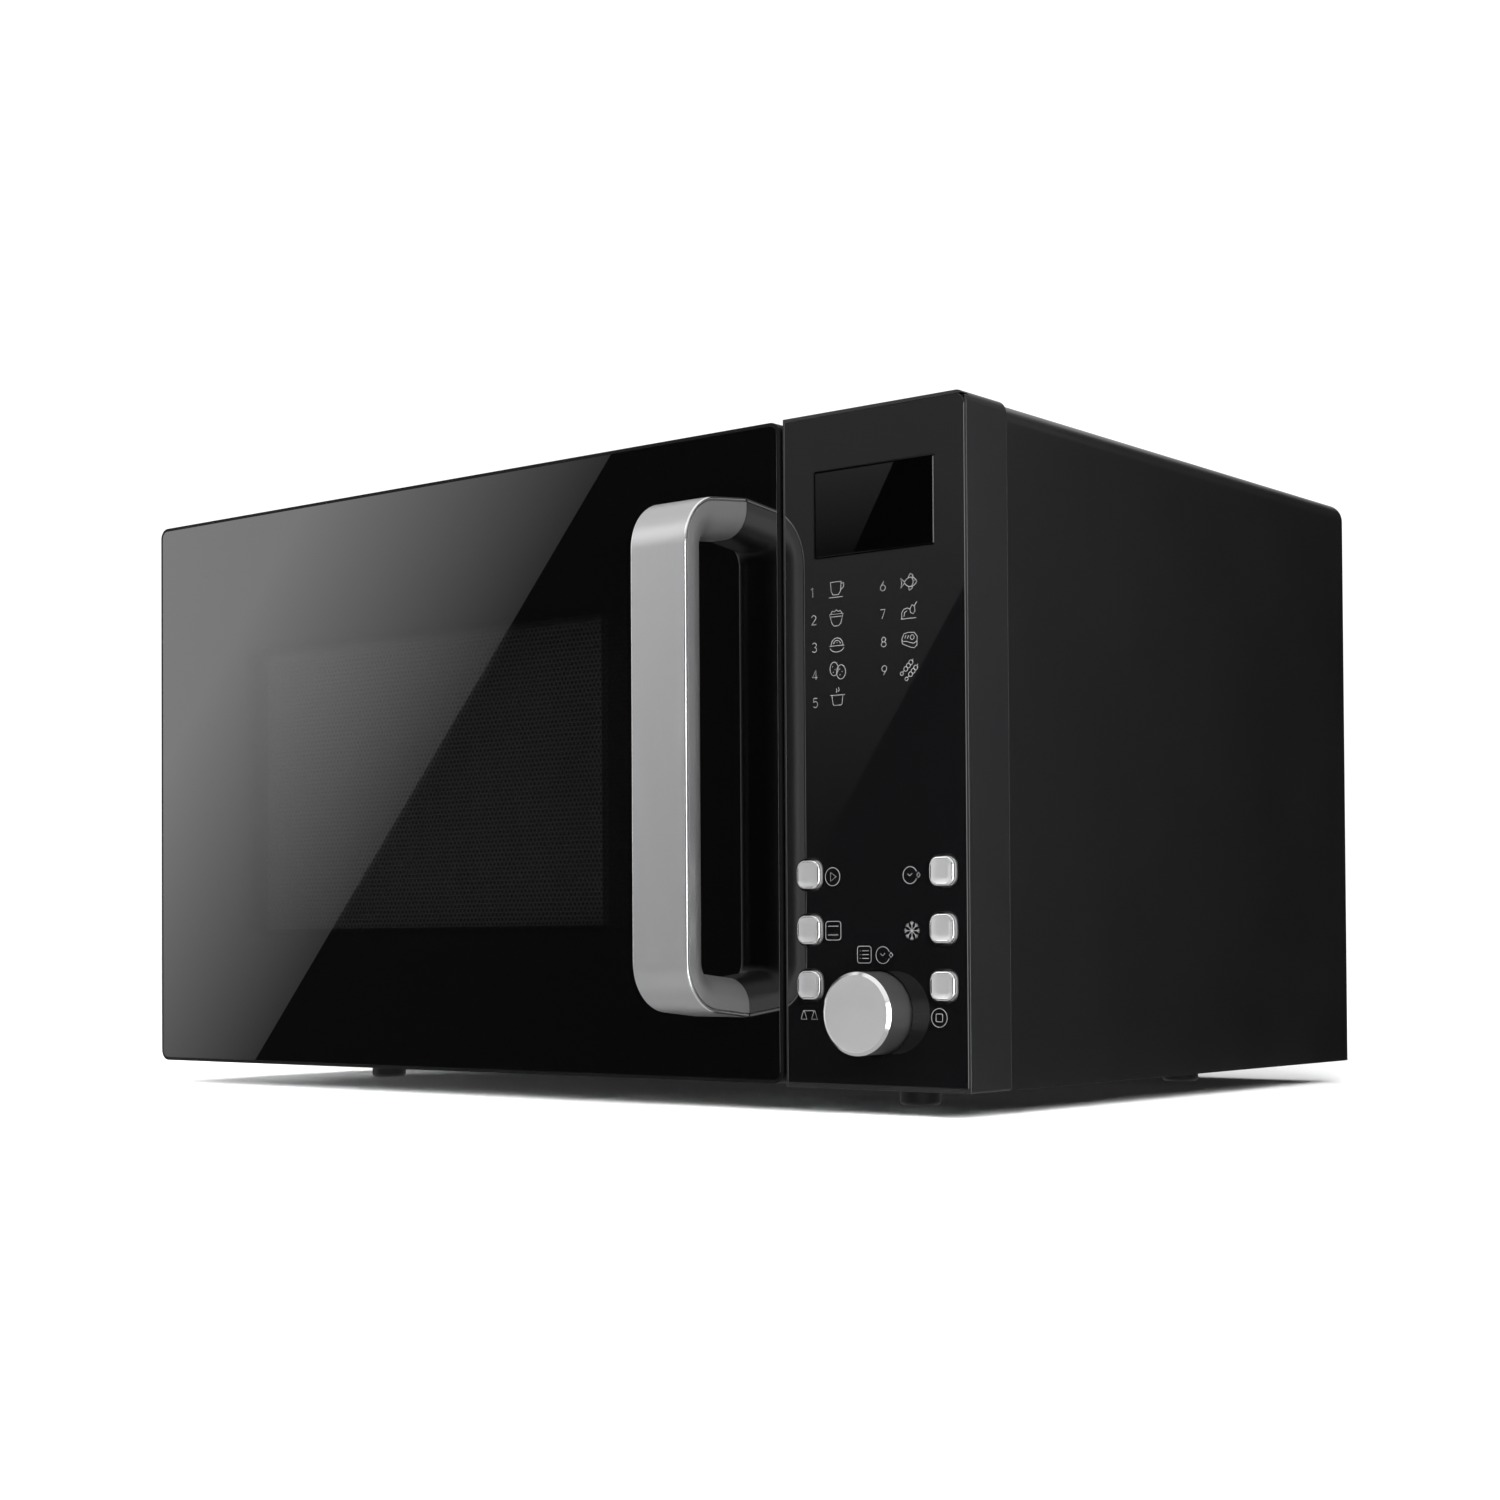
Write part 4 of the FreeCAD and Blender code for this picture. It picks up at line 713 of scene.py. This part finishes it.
SIGNS = {  # place on the fascia in case millimetres: strokes round it
    "cup": (423.2, 197.9, [
        [(-2.8, 2.9), (-2.5, -0.8), (-1.6, -2.2), (1.2, -2.2), (2.1, -0.8), (2.4, 2.9),
         (-2.8, 2.9)],
        [(2.3, 2.2), (3.7, 2.2), (3.6, 0.6), (2.2, -0.4)], [(-3.6, -3.2), (3.2, -3.2)]]),
    "bowl": (423.2, 186.4, [
        [(-3.3, 1.6), (3.3, 1.6), (2.2, -2.0), (1.1, -3.1), (-1.1, -3.1), (-2.2, -2.0),
         (-3.3, 1.6)],
        [(-2.8, 1.7), (-1.9, 3.0), (-1.0, 2.5), (0.0, 3.3), (1.0, 2.5), (1.9, 3.0), (2.8, 1.7)],
        [(-2.6, 0.6), (2.6, 0.6)]]),
    "rice": (423.4, 175.9, [
        arc(0, -0.4, 2.9, 3.0, 0, 180), [(-3.6, -0.5), (3.6, -0.5)],
        arc(0, -0.5, 3.6, 2.5, 200, 340), arc(0, -0.4, 1.9, 2.0, 20, 160),
        [(-1.4, 0.5), (-1.2, 0.8)], [(0, 0.6), (0.2, 0.9)], [(1.4, 0.5), (1.6, 0.8)]]),
    "potatoes": (423.6, 165.6, potatoes_sign()),
    "pot": (423.5, 154.9, [
        [(-3.6, 0.9), (-2.7, 0.9), (-2.2, -2.6), (-1.7, -3.1), (1.7, -3.1), (2.2, -2.6),
         (2.7, 0.9), (3.6, 0.9)],
        [(-2.7, 0.9), (2.7, 0.9)], [(-0.6, 1.9), (-0.2, 2.7), (-0.6, 3.5)],
        [(0.5, 2.2), (0.8, 3.0), (0.5, 3.9)]]),
    "fish": (458.0, 197.1, [
        arc(0.9, -2.2, 3.6, 4.2, 38, 142, 12), arc(0.9, 2.6, 3.6, 4.2, -38, -142, 12),
        [(-1.9, 0.3), (-3.7, 2.0), (-3.3, 0.1), (-3.7, -1.8), (-1.9, 0.0)],
        [(-0.2, 1.9), (0.6, 3.4), (2.0, 2.9), (1.9, 1.8)],
        [(0.0, -1.5), (0.2, -3.0), (1.6, -2.4), (1.7, -1.6)],
        arc(1.2, 0.2, 0.9, 1.5, -75, 75, 8), [(2.7, 0.5), (2.9, 0.6)]]),
    "chicken": (457.9, 186.0, [
        [(-3.6, -2.8), (3.4, -2.8)],
        [(-3.2, -2.8), (-3.3, -0.6), (-2.4, 0.9), (-0.6, 1.3), (0.6, 0.8), (0.9, -0.6),
         (2.2, -1.2), (3.0, 0.0), (2.6, 1.8), (1.6, 2.4), (0.6, 0.8)],
        [(2.6, 1.8), (3.3, 2.8), (3.9, 3.4)], [(-2.2, -1.9), (-2.0, -0.4), (-0.8, 0.2)]]),
    "steak": (458.2, 174.6, [
        [(-3.6, 0.8), (-2.6, 2.8), (-0.4, 3.2), (2.2, 3.0), (3.6, 1.4), (3.5, -0.4),
         (2.0, -1.2), (0.2, -0.8), (-1.6, -0.2), (-3.0, -0.2), (-3.6, 0.8)],
        [(-3.6, 0.8), (-3.4, -1.0), (-1.4, -1.9), (0.4, -2.6), (2.2, -3.0), (3.5, -2.0),
         (3.5, -0.4)],
        ring(1.3, 1.2, 0.9), [(-2.2, 1.0), (-1.6, 2.2)], [(-1.0, 0.8), (-0.4, 2.0)]]),
    "skewers": (458.3, 163.3, skewers_sign()),
    "start": (420.5, 83.9, [ring(0, 0, 3.6), [(-1.0, 1.7), (1.8, 0), (-1.0, -1.7),
                                              (-1.0, 1.7)]]),
    "timer": (458.3, 83.7, timer_sign()),
    "grill": (420.7, 62.5, [rounded(0, 0, 3.7, 1.2), [(-2.5, 1.8), (2.5, 1.8)],
                            [(-2.5, -1.5), (-1.9, -1.9), (-1.2, -1.4), (-0.5, -1.9),
                             (0.2, -1.4), (0.9, -1.9), (1.6, -1.4), (2.3, -1.8)]]),
    "defrost": (458.4, 62.2, snowflake_sign()),
    "list": (435.7, 53.0, [rounded(0, 0, 3.3, 1.1)] + [
        [(-1.0, z), (2.2, z)] for z in (1.5, 0, -1.5)] + [
        [(-2.1, z), (-1.8, z)] for z in (1.5, 0, -1.5)]),
    "turn_time": (445.2, 52.8, timer_sign()),
    "weight": (408.5, 29.0, [
        [(-2.8, 1.7), (2.8, 1.7)], [(-2.8, 1.7), (-4.1, -1.7), (-1.2, -1.7), (-2.4, 1.7)],
        [(2.8, 1.7), (4.1, -1.7), (1.2, -1.7), (2.4, 1.7)]]),
    "stop": (470.8, 28.7, [ring(0, 0, 3.6), rounded(0, 0, 1.5, 0.4)]),
}
DIGIT_PLACES = {
    "1": (411.4, 197.5), "2": (412.0, 186.5), "3": (412.2, 175.5), "4": (412.4, 164.5),
    "5": (412.5, 153.4), "6": (445.8, 196.9), "7": (445.7, 185.9), "8": (446.0, 175.0),
    "9": (446.2, 163.9)}
DIGITS = {  # light numerals 3.7 mm high
    "1": [[(-0.6, 1.3), (0.2, 1.85), (0.2, -1.85)]],
    "2": [arc(0, 0.8, 1.05, 1.05, 165, -25) + [(-1.1, -1.85), (1.15, -1.85)]],
    "3": [arc(0, 0.95, 1.0, 0.9, 150, -90) + arc(0, -0.9, 1.15, 0.95, 90, -150)],
    "4": [[(0.55, -1.85), (0.55, 1.85), (-1.25, -0.95), (1.25, -0.95)]],
    "5": [[(1.0, 1.85), (-0.75, 1.85), (-0.9, 0.25)] + arc(0, -0.65, 1.15, 1.2, 130, -140)],
    "6": [[(0.45, 1.85), (-0.95, -0.1)], ring(0, -0.7, 1.15)],
    "7": [[(-1.1, 1.85), (1.1, 1.85), (-0.45, -1.85)]],
    "8": [ring(0, 0.95, 0.9), ring(0, -0.9, 1.15, 0.95)],
    "9": [ring(0, 0.7, 1.15), [(0.95, 0.1), (-0.45, -1.85)]],
}


def on_fascia(x, z):
    """A place on the fascia's front from case millimetres, whose left and underside are zero."""
    fascia_right, fascia_foot = 484.0, 1.9
    return Vector((FASCIA_HIGH.x + (x - fascia_right) * MM, FASCIA_LOW.y,
                   FASCIA_LOW.z + (z - fascia_foot) * MM))


def print_sign(name, x, z, strokes):
    """A sign's strokes as ink a twentieth of a millimetre high."""
    curve = bpy.data.curves.new(name, "CURVE")
    curve.dimensions = "3D"
    curve.bevel_depth = PRINT_WIDTH / 2 * MM
    curve.bevel_resolution = 1
    for stroke in strokes:
        spline = curve.splines.new("POLY")
        closed = len(stroke) > 3 and math.dist(stroke[0], stroke[-1]) < 1e-6
        points = stroke[:-1] if closed else stroke
        spline.points.add(len(points) - 1)
        for point, (px, pz) in zip(spline.points, points):
            point.co = (px * MM, 0, pz * MM, 1)
        spline.use_cyclic_u = closed
    curve.use_fill_caps = True
    sign = bpy.data.objects.new(name, curve)
    bpy.context.scene.collection.objects.link(sign)
    pick(sign)
    bpy.ops.object.convert(target="MESH")
    sign = bpy.context.object
    flatten = PRINT_DEPTH / (PRINT_WIDTH / 2)
    sign.data.transform(Matrix.Translation(on_fascia(x, z))
                        @ Matrix.Diagonal((1, flatten, 1, 1)))
    return sign


signs = [print_sign("sign_" + name, *place) for name, place in SIGNS.items()]
signs += [print_sign("digit_" + digit, *DIGIT_PLACES[digit], strokes)
          for digit, strokes in DIGITS.items()]
pick(signs[0])
for sign in signs:
    sign.select_set(True)
bpy.ops.object.join()
printed_signs = newest("printed_signs")
fit(printed_signs, "case", None, print_ink)

# ---------------------------------------------------------------- studio


def lit(name, strength):
    """An emitting surface for the softboxes."""
    material = bpy.data.materials.new(name)
    material.use_nodes = True
    material.node_tree.nodes.clear()
    glow = add(material, "ShaderNodeEmission", {"Color": colour("#ffffff"), "Strength": strength})
    add(material, "ShaderNodeOutputMaterial", {"Surface": glow.outputs["Emission"]})
    return material, glow


def reflected_only(obj, material):
    """A stage piece that shows in reflections and nowhere else."""
    obj.data.materials.append(material)
    obj.visible_camera = obj.visible_diffuse = obj.visible_shadow = False
    obj.visible_transmission = obj.visible_volume_scatter = False
    obj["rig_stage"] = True


def card(name, width, height, place, turn, near, far, ramp):
    """A softbox card facing along its own -Y; its glow goes from near at its right edge to far
    over the ramp's width, so a reflection fades as on a real scrim."""
    bpy.ops.mesh.primitive_plane_add(size=1, rotation=(math.pi / 2, 0, 0))
    obj = newest(name)
    obj.scale = (width, height, 1)
    settle(obj)
    obj.location, obj.rotation_euler = place, turn
    material, glow = lit(name + "_glow", 1)
    across = add(material, "ShaderNodeSeparateXYZ", {
        "Vector": add(material, "ShaderNodeTexCoord").outputs["Object"]})
    level = add(material, "ShaderNodeMapRange", {
        "Value": across.outputs["X"], "From Min": width / 2, "From Max": width / 2 - ramp,
        "To Min": near, "To Max": far})
    material.node_tree.links.new(level.outputs["Result"], glow.inputs["Strength"])
    reflected_only(obj, material)


FAINTEST = 0.15  # what is left of a cut card's glow at its faded end


def cut_card(name, low, high, y, cut, strength, fade_from, fade_to):
    """An upright card between two corners of (X, Z), kept only on the left of a slanting line;
    its glow fades from one height to another, down to its faintest share."""
    (x0, z0), (x1, z1), (ax, az), (bx, bz) = low, high, *cut
    bpy.ops.mesh.primitive_plane_add(size=1, rotation=(math.pi / 2, 0, 0),
                                     location=((x0 + x1) / 2, y, (z0 + z1) / 2))
    obj = newest(name)
    obj.scale = (x1 - x0, z1 - z0, 1)
    settle(obj)
    normal = Vector((bz - az, 0, ax - bx))
    edit(obj)
    bpy.ops.mesh.select_all(action="SELECT")
    bpy.ops.mesh.bisect(plane_co=(ax, y, az), plane_no=normal, clear_outer=True)
    bpy.ops.object.mode_set(mode="OBJECT")
    material, glow = lit(name + "_glow", strength)
    height = add(material, "ShaderNodeSeparateXYZ", {
        "Vector": add(material, "ShaderNodeTexCoord").outputs["Object"]})
    level = add(material, "ShaderNodeMapRange", {
        "Value": height.outputs["Z"], "From Min": fade_from, "From Max": fade_to,
        "To Min": strength, "To Max": strength * FAINTEST})
    material.node_tree.links.new(level.outputs["Result"], glow.inputs["Strength"])
    reflected_only(obj, material)


def softbox(name, place, aim, size, power):
    """A square light with no reflection of its own."""
    data = bpy.data.lights.new(name, "AREA")
    data.shape, data.size, data.energy = "SQUARE", size, power
    lamp = bpy.data.objects.new(name, data)
    bpy.context.scene.collection.objects.link(lamp)
    lamp.location = place
    lamp.rotation_euler = (Vector(aim) - Vector(place)).to_track_quat("-Z", "Y").to_euler()
    lamp.visible_glossy = lamp.visible_camera = False


# Floor and backdrop: one pale sweep, lost in white at the horizon.
bpy.ops.mesh.primitive_plane_add(size=40)
floor = newest("floor")
floor_paper = finish("pale_paper_floor", "#fbfbfb", 0.9, Specular_IOR_Level=0.0)
patchy_colour(floor_paper, 400, "#fafafa", "#fdfdfd")
floor.data.materials.append(floor_paper)
floor.visible_glossy = False
floor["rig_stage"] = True

world = bpy.data.worlds.new("white_studio")
bpy.context.scene.world = world
world.use_nodes = True
world.node_tree.nodes["Background"].inputs["Color"].default_value = colour("#ffffff")
world.node_tree.nodes["Background"].inputs["Strength"].default_value = 1.12
world.cycles_visibility.glossy = world.cycles_visibility.diffuse = False

# Studio walls for the reflections: dim at eye height, brighter above and below.
WALL_RADIUS = 9
WALL_GLOW = ((0.0, 0.8), (0.35, 0.5), (0.44, 0.03), (0.62, 0.03), (0.75, 0.9), (1.0, 1.0))
bpy.ops.mesh.primitive_uv_sphere_add(segments=64, ring_count=32, radius=WALL_RADIUS)
walls = newest("studio_walls")
walls_glow, glow = lit("studio_walls_glow", 1)
direction = add(walls_glow, "ShaderNodeSeparateXYZ", {
    "Vector": add(walls_glow, "ShaderNodeTexCoord").outputs["Object"]})
ramp = add(walls_glow, "ShaderNodeValToRGB", {
    "Fac": add(walls_glow, "ShaderNodeMapRange", {
        "Value": direction.outputs["Z"], "From Min": -WALL_RADIUS,
        "From Max": WALL_RADIUS}).outputs["Result"]})
stops = ramp.color_ramp.elements
for place, _ in WALL_GLOW[1:-1]:
    stops.new(place)
for stop, (_, level) in zip(stops, WALL_GLOW):
    stop.color = (level, level, level, 1)
walls_glow.node_tree.links.new(ramp.outputs["Color"], glow.inputs["Color"])
reflected_only(walls, walls_glow)

# A dim flag under the oven, so that its underside mirrors no bright wall.
bpy.ops.mesh.primitive_plane_add(size=1, location=(0, 0, -2 * MM))
flag = newest("under_flag")
flag.scale = (0.54, 0.44, 1)  # a little past the oven on each side
settle(flag)
reflected_only(flag, lit("under_flag_glow", 0.45)[0])

# A tall scrim on the left, its slanting edge reflected across the door.
SCRIM_TURN = math.radians(41.3)
scrim_edge = Vector((-1.4419, -1.5, 0.2781))
scrim_along = Vector((-math.cos(SCRIM_TURN), 0, math.sin(SCRIM_TURN)))
SCRIM_WIDTH, SCRIM_HEIGHT = 1.6, 3.0
card("left_scrim", SCRIM_WIDTH, SCRIM_HEIGHT, scrim_edge + scrim_along * SCRIM_WIDTH / 2,
     (0, SCRIM_TURN, 0), 0.42, 2.75, 0.40)

# A dimmer scrim whose edge crosses the fascia, and in front of it a dark flag and a small
# scrim for the display.
cut_card("panel_scrim", (-0.880, 0.030), (-0.370, 0.760), -1.500,
         ((-0.7635, 0.263), (-0.6458, 0.4323)), 0.40, 0.56, 0.19)
cut_card("display_flag", (-0.832, 0.482), (-0.676, 0.577), -1.495,
         ((-0.676, 0.482), (-0.676, 0.577)), 0.0, 0.6, 0.5)
cut_card("display_scrim", (-0.827, 0.482), (-0.674, 0.574), -1.490,
         ((-0.7772, 0.4824), (-0.7228, 0.5744)), 0.42, 0.580, 0.484)

# Cards on the right: one lights the cut edges, one the handle's flank in the fascia, and a black
# one darkens the rear of the side.
card("edge_card", 0.5, 1.9, (1.66, -1.09, -0.28), (0, 0, math.radians(56.8)), 4.5, 4.5, 0.1)
card("flank_card", 0.9, 2.0, (1.50, -1.96, -0.2), (0, 0, math.radians(39.7)), 2.8, 2.8, 0.1)
card("side_flag", 1.3, 3.0, (0.55, 1.75, 0.3), (0, 0, math.radians(-30)), 0, 0, 0.1)

# An even overhead sky for the floor and the tops, and soft fills for the front, the floor
# on the left and the side.
sky = bpy.data.lights.new("overhead_sky", "SUN")
sky.energy, sky.angle = 3.6, math.radians(110)
sky_lamp = bpy.data.objects.new("overhead_sky", sky)
bpy.context.scene.collection.objects.link(sky_lamp)
sky_lamp.visible_glossy = False
softbox("front_fill", (-0.5, -2.3, 1.6), (0, 0, 0.15), 1.4, 34)
softbox("floor_strip", (-0.70, -0.40, 0.09), (-0.15, -0.1, 0.0), 0.12, 8)
softbox("side_fill", (0.56, -0.33, 0.28), (0.24, -0.12, 0.14), 0.3, 4.0)

# ---------------------------------------------------------------- camera

camera_data = bpy.data.cameras.new("camera")
camera_data.lens, camera_data.sensor_width = 59.29, 36  # millimetres
camera_data.shift_x, camera_data.shift_y = 0.0333, 0.1005
CAMERA_PLACE = (0.75984, -0.94449, 0.06666)
CAMERA_HEADING, CAMERA_TILT, CAMERA_ROLL = 39.49, 91.054, -0.315  # degrees
camera = bpy.data.objects.new("camera", camera_data)
bpy.context.scene.collection.objects.link(camera)
camera.matrix_world = (
    Matrix.Translation(CAMERA_PLACE)
    @ Matrix.Rotation(math.radians(CAMERA_HEADING), 4, "Z")
    @ Matrix.Rotation(math.radians(CAMERA_TILT), 4, "X")
    @ Matrix.Rotation(math.radians(CAMERA_ROLL), 4, "Z"))
bpy.context.scene.camera = camera
bpy.context.scene.view_settings.view_transform = "Standard"

low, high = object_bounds()
